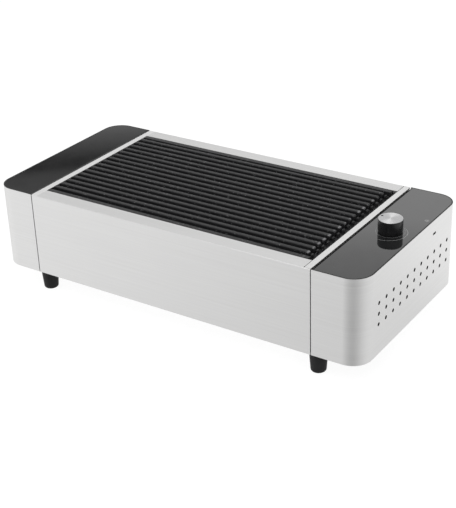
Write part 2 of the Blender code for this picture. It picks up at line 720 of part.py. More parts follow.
def make_bowl():
    top = Z_FLANGE + BOWL_SHEET
    origin = ((OPEN_LEFT + OPEN_RIGHT) / 2, 0.0, Z_BOWL)
    bowl = lofted_tub("fire_bowl", Z_BOWL, top, 0.0, steel(), origin)
    flange = round_rect(OPEN_LEFT + BOWL_PLAY, OPEN_RIGHT - BOWL_PLAY, OPEN_FRONT + BOWL_PLAY,
                        OPEN_BACK - BOWL_PLAY, BOWL_CORNER / 2, CORNER_STEPS)
    boolean(bowl, prism("join_bowl_flange", flange, Z_FLANGE, top), "UNION")
    boolean(bowl, lofted_tub("cut_bowl_inside", Z_BOWL + BOWL_SHEET, top + CUT_OVERRUN, BOWL_SHEET))
    x_wall = bowl_limits(FAN_Z)[1]
    boolean(bowl, rods("cut_bowl_inlet", [(x_wall, 0.0, FAN_Z)], "X", BOWL_INLET_RADIUS,
                       2 * BOWL_TAPER, ROUND_STEPS))
    return shade_round(bowl)


def fire_middle():
    """Centre of the bowl along X, and the top of its floor."""
    return (OPEN_LEFT + OPEN_RIGHT) / 2, Z_BOWL + BOWL_SHEET


def make_gel_tray():
    x, z = fire_middle()
    z0 = z + CLEAR
    hx = TRAY_LENGTH / 2
    hy = TRAY_WIDTH / 2
    t = TRAY_SHEET
    outer = round_rect(x - hx, x + hx, -hy, hy, TRAY_CORNER, CORNER_STEPS)
    inner = round_rect(x - hx + t, x + hx - t, -hy + t, hy - t, TRAY_CORNER - t, CORNER_STEPS)
    tray = prism("gel_tray", outer, z0, z0 + TRAY_HEIGHT, steel(), (x, 0.0, z0))
    boolean(tray, prism("cut_tray", inner, z0 + t, z0 + TRAY_HEIGHT + CUT_OVERRUN))


def basket_levels():
    """Bottom of the legs, floor and top edge of the charcoal basket."""
    z = fire_middle()[1] + CLEAR
    return z, z + BASKET_LEG, z + BASKET_LEG + BASKET_HEIGHT


def make_basket():
    x = fire_middle()[0]
    z_leg, z0, z1 = basket_levels()
    hx = BASKET_LENGTH / 2
    hy = BASKET_WIDTH / 2
    t = BASKET_SHEET
    outer = round_rect(x - hx, x + hx, -hy, hy, BASKET_CORNER, CORNER_STEPS)
    inner = round_rect(x - hx + t, x + hx - t, -hy + t, hy - t, BASKET_CORNER - t, CORNER_STEPS)
    iron = material("coal_steel", (0.32, 0.31, 0.30), 1.0, 0.5)
    basket = prism("charcoal_basket", outer, z0, z1, iron, (x, 0.0, z0))
    boolean(basket, prism("cut_basket_inside", inner, z0 + t, z1 + CUT_OVERRUN))
    legs = []
    for sx in (-1, 1):
        for sy in (-1, 1):
            lx = x + sx * (hx - BASKET_CORNER - BASKET_LEG_WIDTH / 2)
            ly = sy * (hy - t / 2)
            legs.append((lx - BASKET_LEG_WIDTH / 2, lx + BASKET_LEG_WIDTH / 2,
                         ly - t / 2, ly + t / 2, z_leg, z0 + t / 2))
    boolean(basket, boxes("join_basket_legs", legs), "UNION")
    z_mid = (z0 + z1) / 2
    hole_pitch = 2 * (hx - BASKET_HOLE_MARGIN) / (BASKET_HOLE_COLUMNS - 1)
    slot_pitch = 2 * (hx - BASKET_SLOT_MARGIN) / (BASKET_SLOT_COUNT - 1)
    side = []
    for row in range(BASKET_HOLE_ROWS):
        z = z_mid + (row - (BASKET_HOLE_ROWS - 1) / 2) * BASKET_HOLE_PITCH_Z
        for column in range(BASKET_HOLE_COLUMNS):
            side.append((x + (column - (BASKET_HOLE_COLUMNS - 1) / 2) * hole_pitch, 0.0, z))
    boolean(basket, rods("cut_basket_sides", side, "Y", BASKET_HOLE_RADIUS, BASKET_WIDTH + CUT_OVERRUN,
                         BASKET_HOLE_STEPS))
    slots = []
    for i in range(BASKET_SLOT_COUNT):
        sx = x + (i - (BASKET_SLOT_COUNT - 1) / 2) * slot_pitch
        slots.append((sx - BASKET_SLOT_WIDTH / 2, sx + BASKET_SLOT_WIDTH / 2, -BASKET_SLOT_LENGTH / 2,
                      BASKET_SLOT_LENGTH / 2, z0 - CUT_OVERRUN, z0 + t + CUT_OVERRUN))
    boolean(basket, boxes("cut_basket_floor", slots))


def make_lid():
    """Roof over the coals: fat that drips on it runs off to both sides."""
    x = fire_middle()[0]
    z_top = basket_levels()[2]
    t = BASKET_SHEET
    hx = BASKET_LENGTH / 2 + LID_PLAY
    hy = BASKET_WIDTH / 2 + LID_PLAY
    z0 = z_top - LID_SKIRT
    z1 = z_top + CLEAR

    def roof(bm, grow, low, eave):
        profile_along_x(bm, [(-hy - grow, low), (hy + grow, low), (hy + grow, eave),
                             (0.0, eave + LID_RISE), (-hy - grow, eave)], x - hx - grow, x + hx + grow)

    bm = bmesh.new()
    roof(bm, t, z0, z1 + t)
    lid = add_object("basket_lid", bm, material("lid_steel", (0.45, 0.44, 0.43), 1.0, 0.42), (x, 0.0, z0))
    inner = bmesh.new()
    roof(inner, 0.0, z0 - CUT_OVERRUN, z1)
    boolean(lid, add_object("cut_lid", inner))


def make_fan_frame():
    x0 = X_MID_RIGHT + CLEAR
    x1 = x0 + FAN_DEPTH
    half = FAN_SIZE / 2
    outline = round_rect(-half, half, FAN_Z - half, FAN_Z + half, FAN_CORNER, CORNER_STEPS)
    bm = bmesh.new()
    profile_along_x(bm, outline, x0, x1)
    frame = add_object("fan_frame", bm, black_plastic(), (x0, 0.0, FAN_Z))
    boolean(frame, rods("cut_fan_bore", [((x0 + x1) / 2, 0.0, FAN_Z)], "X", FAN_BORE_RADIUS,
                        FAN_DEPTH + 2 * CUT_OVERRUN, ROUND_STEPS))
    arm = FAN_SPIDER_ARM / 2
    reach = FAN_BORE_RADIUS + FAN_HUB_WALL
    spider = boxes("join_fan_spider", [(x0, x0 + FAN_SPIDER, -reach, reach, FAN_Z - arm, FAN_Z + arm)])
    boolean(frame, spider, "UNION")
    upright = boxes("join_fan_upright", [(x0, x0 + FAN_SPIDER, -arm, arm, FAN_Z - reach, FAN_Z + reach)])
    boolean(frame, upright, "UNION")
    hub = turned("join_fan_hub", [(0, 0), (FAN_HUB_RADIUS, 0), (FAN_HUB_RADIUS, FAN_SPIDER), (0, FAN_SPIDER)],
                 (x0, 0.0, FAN_Z), "X", ROUND_STEPS)
    boolean(frame, hub, "UNION")
    boolean(frame, rods("cut_fan_frame_holes", fan_hole_places((x0 + x1) / 2), "X",
                        SMALL_SCREW_RADIUS + CLEAR, FAN_DEPTH + 2 * CUT_OVERRUN))
    return shade_round(frame)


def fan_start():
    """Face of the spider that the motor is bonded to."""
    return X_MID_RIGHT + CLEAR + FAN_SPIDER


def make_motor():
    x = fan_start() + CLEAR
    radius = FAN_HUB_RADIUS - FAN_HUB_WALL - 2 * CLEAR
    bore = SHAFT_RADIUS + CLEAR
    profile = [(bore, 0), (radius, 0), (radius, MOTOR_LENGTH), (bore, MOTOR_LENGTH)]
    motor = turned("fan_motor", profile, (x, 0.0, FAN_Z), "X", FOOT_STEPS,
                   material("motor_copper", (0.35, 0.20, 0.10), 1.0, 0.4))
    shade_round(motor)


def make_fan_shaft():
    x = fan_start() + CLEAR
    length = MOTOR_LENGTH + FAN_HUB_WALL + 2 * CLEAR
    profile = [(0, 0), (SHAFT_RADIUS, 0), (SHAFT_RADIUS, length), (0, length)]
    shade_round(turned("fan_shaft", profile, (x, 0.0, FAN_Z), "X", SMALL_ROUND_STEPS, zinc()))


def make_impeller():
    """Cup over the motor with twisted blades round it."""
    x0 = fan_start() + 2 * CLEAR
    x1 = x0 + FAN_HUB_LENGTH
    cup_floor = fan_start() + CLEAR + MOTOR_LENGTH + CLEAR
    inner = FAN_HUB_RADIUS - FAN_HUB_WALL
    bore = SHAFT_RADIUS + CLEAR
    profile = [(inner, 0), (FAN_HUB_RADIUS, 0), (FAN_HUB_RADIUS, x1 - x0), (bore, x1 - x0),
               (bore, cup_floor - x0), (inner, cup_floor - x0)]
    hub = turned("fan_impeller", profile, (x0, 0.0, FAN_Z), "X", ROUND_STEPS, black_plastic())
    tip = FAN_BORE_RADIUS - FAN_TIP_GAP
    root = FAN_HUB_RADIUS - FAN_HUB_WALL / 2
    bm = bmesh.new()
    x_mid = (x0 + x1) / 2
    chord = x1 - x0 - 2 * FAN_HUB_WALL
    for blade in range(FAN_BLADES):
        start = 2 * math.pi * blade / FAN_BLADES
        sections = []
        for k in range(BLADE_SECTIONS + 1):
            r = root + (tip - root) * k / BLADE_SECTIONS
            lean = FAN_BLADE_SWEEP - FAN_BLADE_TWIST * k / BLADE_SECTIONS
            ring = []
            for sx, st in ((-1, -1), (1, -1), (1, 1), (-1, 1)):
                along = sx * chord / 2
                across = sx * chord / 2 * math.tan(lean) + st * FAN_BLADE_THICKNESS / 2
                a = start + across / r
                ring.append(bm.verts.new((x_mid + along, r * math.cos(a), FAN_Z + r * math.sin(a))))
            sections.append(ring)
        bm.faces.new(sections[0])
        bm.faces.new(list(reversed(sections[-1])))
        for near, far in zip(sections, sections[1:]):
            for i in range(4):
                j = (i + 1) % 4
                bm.faces.new((near[i], far[i], far[j], near[j]))
    boolean(hub, add_object("join_fan_blades", bm), "UNION")
    return shade_round(hub)


def make_duct():
    """Short funnel that leads the air from the fan to the hole in the bowl."""
    x_flange = X_MID_RIGHT - SHEET - CLEAR
    mouth_top = FAN_Z + DUCT_MOUTH_RADIUS + DUCT_WALL
    x_mouth = bowl_limits(mouth_top)[1] + DUCT_BOWL_GAP
    length = x_flange - x_mouth
    t = DUCT_WALL
    inner = FAN_BORE_RADIUS
    neck = BULKHEAD_FOOT
    profile = [(inner, length), (DUCT_FLANGE_RADIUS, length), (DUCT_FLANGE_RADIUS, length - t),
               (inner + t, length - t), (DUCT_MOUTH_RADIUS + t, (length - neck) / 2),
               (DUCT_MOUTH_RADIUS + t, 0), (DUCT_MOUTH_RADIUS, 0), (DUCT_MOUTH_RADIUS, (length - neck) / 2)]
    duct = turned("air_duct", profile, (x_mouth, 0.0, FAN_Z), "X", ROUND_STEPS, steel())
    boolean(duct, rods("cut_duct_holes", fan_hole_places(x_flange - t / 2), "X",
                       SMALL_SCREW_RADIUS + CLEAR, 2 * t + CUT_OVERRUN))
    return shade_round(duct)


def screw(name, place, axis, sign, radius, head_radius, head, length):
    """Pan head screw: place is under its head, and it runs along the axis times sign."""
    drive = SCREW_DRIVE_RADIUS
    edge = SCREW_EDGE_SHARE * head
    profile = [(0, length), (radius, length), (radius, 0), (head_radius, 0),
               (head_radius, -head + edge), (head_radius - edge, -head),
               (drive, -head), (drive, -head + SCREW_DRIVE_DEPTH), (0, -head + SCREW_DRIVE_DEPTH)]
    profile = [(r, sign * h) for r, h in profile]
    return shade_round(turned(name, profile, place, axis, HOLE_STEPS, zinc()))


def make_fan_screws():
    x_head = X_MID_RIGHT + CLEAR + FAN_DEPTH + CLEAR
    length = x_head - (X_MID_RIGHT - SHEET - CLEAR - DUCT_WALL) + SCREW_END / 2
    for i, (x, y, z) in enumerate(fan_hole_places(x_head)):
        screw("fan_screw_%d" % (i + 1), (x, y, z), "X", -1, SMALL_SCREW_RADIUS, SMALL_SCREW_HEAD_RADIUS,
              SMALL_SCREW_HEAD, length)


def make_base_screws():
    length = SHEET + BASE_SHEET + SCREW_END
    for i, (x, y) in enumerate(base_screw_places()):
        screw("base_screw_%d" % (i + 1), (x, y, Z_BOTTOM - CLEAR), "Z", 1, SMALL_SCREW_RADIUS,
              SMALL_SCREW_HEAD_RADIUS, SMALL_SCREW_HEAD, length)


def make_box_screws():
    top = Z_BASE_TOP + CLEAR + BOX_WALL + CLEAR
    length = top - Z_BASE_UNDER
    for i, (x, y) in enumerate(box_screw_places()):
        screw("box_screw_%d" % (i + 1), (x, y, top), "Z", -1, SMALL_SCREW_RADIUS,
              SMALL_SCREW_HEAD_RADIUS, SMALL_SCREW_HEAD, length)


def make_feet():
    """Tapered rubber feet, each held by a screw up through its sole."""
    top = Z_BASE_UNDER - CLEAR
    rubber = material("black_rubber", (0.022, 0.022, 0.022), 0.0, 0.7)
    labels = ("front_left", "back_left", "front_right", "back_right")
    for label, (x, y) in zip(labels, foot_places()):
        e = FOOT_EDGE_RADIUS
        edge = []
        for i in range(FOOT_EDGE_STEPS + 1):
            a = math.radians(90.0 * i / FOOT_EDGE_STEPS)
            edge.append((FOOT_BOTTOM_RADIUS - e + e * math.sin(a), e - e * math.cos(a)))
        shank = FOOT_SCREW_RADIUS + CLEAR
        profile = edge + [(FOOT_TOP_RADIUS, top), (shank, top), (shank, FOOT_SOLE),
                          (FOOT_SCREW_WELL, FOOT_SOLE), (FOOT_SCREW_WELL, 0)]
        shade_round(turned("foot_" + label, profile, (x, y, 0.0), "Z", FOOT_STEPS, rubber))
        length = Z_BASE_TOP - FOOT_SOLE + SCREW_END
        screw("foot_screw_" + label, (x, y, FOOT_SOLE - CLEAR), "Z", 1, FOOT_SCREW_RADIUS,
              FOOT_SCREW_HEAD_RADIUS, FOOT_SCREW_HEAD, length)


def tongue_levels():
    middle = (Z_DOOR_UNDER + Z_DOOR_TOP) / 2
    return middle - DOOR_TONGUE_HEIGHT / 2, middle + DOOR_TONGUE_HEIGHT / 2


def make_battery_box():
    """Tub over the cells, open below; its side walls are grooved for the sliding door."""
    x0, x1, y0, y1 = battery_bay()
    z0 = Z_DOOR_UNDER - BOX_SKIRT
    z1 = Z_BOX_CEILING + BOX_WALL
    w = BOX_WALL
    box = boxes("battery_box", [(x0, x1, y0, y1, z0, z1)], black_plastic())
    inside = (x0 + w, x1 - w, y0 + w, y1 - w, z0 - CUT_OVERRUN, Z_BOX_CEILING)
    boolean(box, boxes("cut_box_inside", [inside]))
    tab_z = Z_BASE_TOP + CLEAR
    tabs = boxes("join_box_tabs", [(x0 + w, x1 - w, y0 - BOX_TAB, y0 + w / 2, tab_z, tab_z + w),
                                   (x0 + w, x1 - w, y1 - w / 2, y1 + BOX_TAB, tab_z, tab_z + w)])
    boolean(box, tabs, "UNION")
    holes = [(x, y, tab_z + w / 2) for x, y in box_screw_places()]
    boolean(box, rods("cut_box_tab_holes", holes, "Z", SMALL_SCREW_RADIUS + CLEAR, w + 2 * CUT_OVERRUN))
    g0, g1 = tongue_levels()
    groove = (x0 + w - DOOR_TONGUE - CLEAR, x1 - w + DOOR_TONGUE + CLEAR, y0 + w + CLEAR,
              y1 + CUT_OVERRUN, g0 - CLEAR, g1 + CLEAR)
    boolean(box, boxes("cut_box_groove", [groove]))
    exit_way = (x0 + w, x1 - w, y1 - w - CUT_OVERRUN, y1 + CUT_OVERRUN,
                z0 - CUT_OVERRUN, Z_BASE_UNDER)
    boolean(box, boxes("cut_box_exit", [exit_way]))


def make_battery_door():
    x0, x1, y0, y1 = battery_bay()
    z0 = Z_DOOR_UNDER
    z1 = Z_DOOR_TOP
    w = BOX_WALL + CLEAR
    door = boxes("battery_door", [(x0 + w, x1 - w, y0 + w, y1, z0, z1)], black_plastic(), (x0, y0, z0))
    g0, g1 = tongue_levels()
    t = DOOR_TONGUE
    boolean(door, boxes("join_door_tongues", [(x0 + w - t, x1 - w + t, y0 + w + CLEAR, y1, g0, g1)]), "UNION")
    middle = (x0 + x1) / 2
    grips = []
    for i in range(DOOR_GRIP_COUNT):
        y = y1 - DOOR_GRIP_START - i * DOOR_GRIP_PITCH
        grips.append((middle - DOOR_GRIP_WIDTH / 2, middle + DOOR_GRIP_WIDTH / 2,
                      y - DOOR_GRIP_PITCH / 4, y + DOOR_GRIP_PITCH / 4, z0 - CUT_OVERRUN, z0 + DOOR_GRIP))
    boolean(door, boxes("cut_door_grips", grips))


def make_cells():
    """Round cells side by side; every other one lies the other way round."""
    x0, x1, y0, y1 = battery_bay()
    z = Z_CELL_AXIS
    first = x0 + BOX_WALL + CLEAR + CONTACT_THICKNESS + CLEAR
    can = material("cell_can", (0.55, 0.42, 0.12), 1.0, 0.35)
    for i in range(CELL_COUNT):
        y = y0 + BOX_WALL + CELL_GAP + CELL_RADIUS + i * (2 * CELL_RADIUS + CELL_GAP)
        body = [(0, 0), (CELL_RADIUS, 0), (CELL_RADIUS, CELL_LENGTH), (CELL_NUB_RADIUS, CELL_LENGTH),
                (CELL_NUB_RADIUS, CELL_LENGTH + CELL_NUB), (0, CELL_LENGTH + CELL_NUB)]
        start = first
        if i % 2:
            body = [(r, -h) for r, h in body]
            start = first + CELL_LENGTH + CELL_NUB
        shade_round(turned("battery_cell_%d" % (i + 1), body, (start, y, z), "X", FOOT_STEPS, can))
    row = (y0 + BOX_WALL + CLEAR, y1 - BOX_WALL - CLEAR)
    places = {"battery_contact_left": x0 + BOX_WALL + CLEAR,
              "battery_contact_right": x1 - BOX_WALL - CLEAR - CONTACT_THICKNESS}
    for name, x in places.items():
        boxes(name, [(x, x + CONTACT_THICKNESS, *row, z - CONTACT_HEIGHT / 2, z + CONTACT_HEIGHT / 2)],
              zinc())


def board_levels():
    """Underside and top of the control board, which lies over the power socket."""
    under = Z_TOP - SLOT_DROP + SOCKET_HEIGHT / 2 + CLEAR
    return under, under + BOARD_THICKNESS


def make_board():
    z0, z1 = board_levels()
    x1 = X_RIGHT - SHEET - 3 * CLEAR
    boxes("control_board", [(x1 - BOARD_WIDTH, x1, -BOARD_START_Y, BOARD_END_Y, z0, z1)],
          material("board_green", (0.02, 0.16, 0.06), 0.0, 0.5))


def make_power_socket():
    x1 = X_RIGHT - SHEET - CLEAR
    x0 = x1 - SOCKET_LENGTH
    z = Z_TOP - SLOT_DROP
    hw = SOCKET_WIDTH / 2
    hh = SOCKET_HEIGHT / 2
    t = SOCKET_WALL
    socket = boxes("power_socket", [(x0, x1, SLOT_Y - hw, SLOT_Y + hw, z - hh, z + hh)], zinc())
    boolean(socket, boxes("cut_power_socket", [(x0 + t, x1 + CUT_OVERRUN, SLOT_Y - hw + t, SLOT_Y + hw - t,
                                                z - hh + t, z + hh - t)]))


def make_potentiometer():
    place = (KNOB_AXIS_X, KNOB_Y, 0.0)
    z0 = board_levels()[1] + CLEAR
    shoulder = Z_TOP - PANEL_THICKNESS - CLEAR
    bush_top = Z_TOP + POT_BUSH_RISE
    bore = POT_SHAFT_RADIUS + CLEAR
    bed = shoulder - NUT_HEIGHT
    body = [(0, z0), (POT_RADIUS, z0), (POT_RADIUS, shoulder), (POT_BUSH_RADIUS, shoulder),
            (POT_BUSH_RADIUS, bush_top), (bore, bush_top), (bore, bed), (0, bed)]
    shade_round(turned("potentiometer_body", body, place, "Z", FOOT_STEPS,
                       material("pot_metal", (0.5, 0.5, 0.48), 1.0, 0.4)))
    shaft_z0 = bed + CLEAR
    shaft_z1 = Z_TOP + POT_SHAFT_TOP
    r = POT_SHAFT_RADIUS
    shade_round(turned("potentiometer_shaft", [(0, shaft_z0), (r, shaft_z0), (r, shaft_z1), (0, shaft_z1)],
                       place, "Z", SMALL_ROUND_STEPS, zinc()))
    across = NUT_FLATS / 2 / math.cos(math.pi / 6)
    z_nut = Z_TOP + CLEAR
    nut = turned("potentiometer_nut", [(0, z_nut), (across, z_nut), (across, z_nut + NUT_HEIGHT),
                                       (0, z_nut + NUT_HEIGHT)], place, "Z", 6, zinc())
    boolean(nut, rods("cut_nut", [(KNOB_AXIS_X, KNOB_Y, z_nut)], "Z", POT_BUSH_RADIUS + CLEAR,
                      4 * NUT_HEIGHT, SMALL_ROUND_STEPS))


def make_knob():
    """Hollow knob on the shaft, with a thin metal disc over its top."""
    place = (KNOB_AXIS_X, KNOB_Y, 0.0)
    z0 = Z_TOP + KNOB_GAP
    z1 = Z_TOP + KNOB_HEIGHT
    r = KNOB_RADIUS
    e = KNOB_EDGE
    well = r - KNOB_WALL
    well_top = z0 + KNOB_WELL
    bore = POT_SHAFT_RADIUS + CLEAR
    bore_top = Z_TOP + POT_SHAFT_TOP + CLEAR
    seat_z = z1 - KNOB_CAP - CLEAR
    profile = [(well, z0), (r - e, z0), (r, z0 + e), (r, seat_z), (0, seat_z), (0, bore_top),
               (bore, bore_top), (bore, well_top), (well, well_top)]
    shade_round(turned("knob_body", profile, place, "Z", KNOB_STEPS, black_plastic()))
    disc_z = seat_z + CLEAR
    rim = KNOB_CAP_RADIUS - KNOB_CAP_EDGE
    disc = [(0, disc_z), (KNOB_CAP_RADIUS, disc_z), (KNOB_CAP_RADIUS, z1 - KNOB_CAP_EDGE), (rim, z1),
            (0, z1)]
    spun = material("spun_metal", (0.8, 0.8, 0.79), 1.0, 0.25)
    shade_round(turned("knob_cap", disc, place, "Z", KNOB_STEPS, spun))


def main():
    clear_scene()
    make_base_plate()
    make_centre_shell()
    make_left_bulkhead()
    make_right_bulkhead()
    make_bowl_support()
    make_end_shell("left_end_shell", -1)
    right_shell = make_end_shell("right_end_shell", 1)
    cut_vents(right_shell)
    cut_power_slot(right_shell)
    make_panel("left_panel", "left_panel_seal", -1)
    cut_bush_hole(make_panel("right_panel", "right_panel_seal", 1))
    make_bowl()
    make_gel_tray()
    make_basket()
    make_lid()
    make_grid()
    make_fan_frame()
    make_motor()
    make_fan_shaft()
    make_impeller()
    make_duct()
    make_fan_screws()
    make_battery_box()
    make_box_screws()
    make_battery_door()
    make_cells()
    make_board()
    make_power_socket()
    make_potentiometer()
    make_knob()
    make_feet()
    make_base_screws()


main()
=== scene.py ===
import math

import bmesh
import bpy
from mathutils import Matrix, Vector


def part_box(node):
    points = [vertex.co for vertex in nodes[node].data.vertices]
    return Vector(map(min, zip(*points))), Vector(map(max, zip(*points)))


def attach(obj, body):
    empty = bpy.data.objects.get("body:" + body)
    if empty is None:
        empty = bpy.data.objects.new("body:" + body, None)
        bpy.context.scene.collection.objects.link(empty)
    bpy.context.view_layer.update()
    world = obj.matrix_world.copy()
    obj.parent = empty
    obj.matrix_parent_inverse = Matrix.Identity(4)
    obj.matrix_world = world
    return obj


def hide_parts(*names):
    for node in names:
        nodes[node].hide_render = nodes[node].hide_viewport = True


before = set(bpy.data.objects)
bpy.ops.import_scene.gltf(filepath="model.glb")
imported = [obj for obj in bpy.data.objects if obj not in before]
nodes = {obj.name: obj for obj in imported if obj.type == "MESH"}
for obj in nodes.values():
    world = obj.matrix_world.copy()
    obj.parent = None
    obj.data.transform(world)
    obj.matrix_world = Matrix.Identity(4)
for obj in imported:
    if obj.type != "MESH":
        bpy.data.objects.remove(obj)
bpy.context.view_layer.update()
print("frame loaded,", len(nodes), "nodes")


# Modelling helpers

weld = {"near": 0.000004, "spun": 0.00002}      # distances at which points become one


def choose(*pieces):
    # only these are selected, the first one is active
    bpy.ops.object.select_all(action="DESELECT")
    for piece in pieces:
        piece.select_set(True)
    bpy.context.view_layer.objects.active = pieces[0]


def applyPlace(piece):
    choose(piece)
    bpy.ops.object.transform_apply(location=True, rotation=True, scale=True)


def addBlock(name, lo, hi):
    lo, hi = Vector(lo), Vector(hi)
    bpy.ops.object.select_all(action="DESELECT")
    bpy.ops.mesh.primitive_cube_add(size=1, location=(lo + hi) / 2)
    piece = bpy.context.object
    piece.name = name
    piece.scale = hi - lo
    applyPlace(piece)
    return piece


def addRod(name, centre, radius, length, axis="Z", sides=32):
    turn = {"X": (0, math.pi / 2, 0), "Y": (math.pi / 2, 0, 0), "Z": (0, 0, 0)}[axis]
    bpy.ops.object.select_all(action="DESELECT")
    bpy.ops.mesh.primitive_cylinder_add(vertices=sides, radius=radius, depth=length,
                                        location=centre, rotation=turn)
    piece = bpy.context.object
    piece.name = name
    applyPlace(piece)
    return piece


def pick(piece, kind, test):
    # edit mode, with the parts selected that pass the test
    choose(piece)
    bpy.ops.object.mode_set(mode="EDIT")
    bpy.ops.mesh.select_mode(type=kind)
    bpy.ops.mesh.select_all(action="DESELECT")
    shape = bmesh.from_edit_mesh(piece.data)
    shape.normal_update()
    parts = {"VERT": shape.verts, "EDGE": shape.edges}[kind]
    for part in parts:
        if test(part):
            part.select_set(True)
    shape.select_flush_mode()
    bmesh.update_edit_mesh(piece.data)


def leave():
    bpy.ops.object.mode_set(mode="OBJECT")


def roundEdges(piece, test, width, steps):
    pick(piece, "EDGE", test)
    bpy.ops.mesh.bevel(offset=width, offset_type="OFFSET", segments=steps, profile=0.5, affect="EDGES")
    leave()


def cutAway(piece, *cutters):
    for cutter in cutters:
        choose(piece)
        step = piece.modifiers.new("cut", "BOOLEAN")
        step.operation = "DIFFERENCE"
        step.solver = "EXACT"
        step.object = cutter
        bpy.ops.object.modifier_apply(modifier=step.name)
        bpy.data.objects.remove(cutter, do_unlink=True)


def joinAll(first, others):
    choose(first, *others)
    bpy.ops.object.join()
    return first


def copyAlong(first, offsets):
    copies = []
    for offset in offsets:
        other = first.copy()
        other.data = first.data.copy()
        bpy.context.scene.collection.objects.link(other)
        other.location = offset
        copies.append(other)
    for other in copies:
        applyPlace(other)
    return copies


def softenEdges(piece, width, steps=2, angle=40):
    choose(piece)
    step = piece.modifiers.new("softEdge", "BEVEL")
    step.width = width
    step.segments = steps
    step.limit_method = "ANGLE"
    step.angle_limit = math.radians(angle)
    step.miter_outer = "MITER_ARC"
    step.harden_normals = False
    bpy.ops.object.modifier_apply(modifier=step.name)


def smooth(piece, angle=35):
    # smooth over the small roundings, while the large flat faces stay flat
    choose(piece)
    bpy.ops.object.shade_smooth_by_angle(angle=math.radians(angle))
    step = piece.modifiers.new("flatFaces", "WEIGHTED_NORMAL")
    step.weight = 100
    step.keep_sharp = True
    bpy.ops.object.modifier_apply(modifier=step.name)


def tidyMesh(piece):
    choose(piece)
    bpy.ops.object.mode_set(mode="EDIT")
    bpy.ops.mesh.select_all(action="SELECT")
    bpy.ops.mesh.remove_doubles(threshold=weld["near"])
    bpy.ops.mesh.normals_make_consistent(inside=False)
    leave()


def refinedCopy(name, node, width, steps=2, angle=40):
    # a node's shape again, with its sheet edges and moulded corners rounded
    bpy.ops.object.select_all(action="DESELECT")
    piece = nodes[node].copy()
    piece.data = nodes[node].data.copy()
    piece.name = name
    for key in list(piece.keys()):
        if key.startswith("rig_"):
            del piece[key]
    piece.parent = None
    piece.matrix_world = Matrix.Identity(4)
    bpy.context.scene.collection.objects.link(piece)
    choose(piece)
    bpy.ops.object.mode_set(mode="EDIT")
    bpy.ops.mesh.select_all(action="SELECT")
    bpy.ops.mesh.remove_doubles(threshold=weld["near"])
    bpy.ops.mesh.dissolve_limited(angle_limit=math.radians(1.0))
    leave()
    bpy.ops.mesh.customdata_custom_splitnormals_clear()
    softenEdges(piece, width, steps, angle)
    smooth(piece)
    return piece


def spinProfile(name, points, centre, steps=64):
    # a closed (radius, height) profile turned round an upright axis, poles merged
    bpy.ops.object.select_all(action="DESELECT")
    bpy.ops.mesh.primitive_plane_add(size=0.001, location=(0, 0, 0))
    piece = bpy.context.object
    piece.name = name
    bpy.ops.object.mode_set(mode="EDIT")
    bpy.ops.mesh.select_all(action="SELECT")
    bpy.ops.mesh.delete(type="VERT")
    shape = bmesh.from_edit_mesh(piece.data)
    row = [shape.verts.new((centre[0] + r, centre[1], centre[2] + h)) for r, h in points]
    for a, b in zip(row, row[1:]):
        shape.edges.new((a, b))
    bmesh.update_edit_mesh(piece.data)
    bpy.ops.mesh.select_all(action="SELECT")
    bpy.ops.mesh.spin(steps=steps, angle=2 * math.pi, center=centre, axis=(0, 0, 1))
    bpy.ops.mesh.select_all(action="SELECT")
    bpy.ops.mesh.remove_doubles(threshold=weld["spun"])
    bpy.ops.mesh.normals_make_consistent(inside=False)
    leave()
    return piece


def arcPoints(cx, cz, radius, start, end, count):
    # part of a circle in a profile, angles in degrees
    turns = [math.radians(start + (end - start) * i / count) for i in range(count + 1)]
    return [(cx + radius * math.cos(t), cz + radius * math.sin(t)) for t in turns]


# Shader helpers

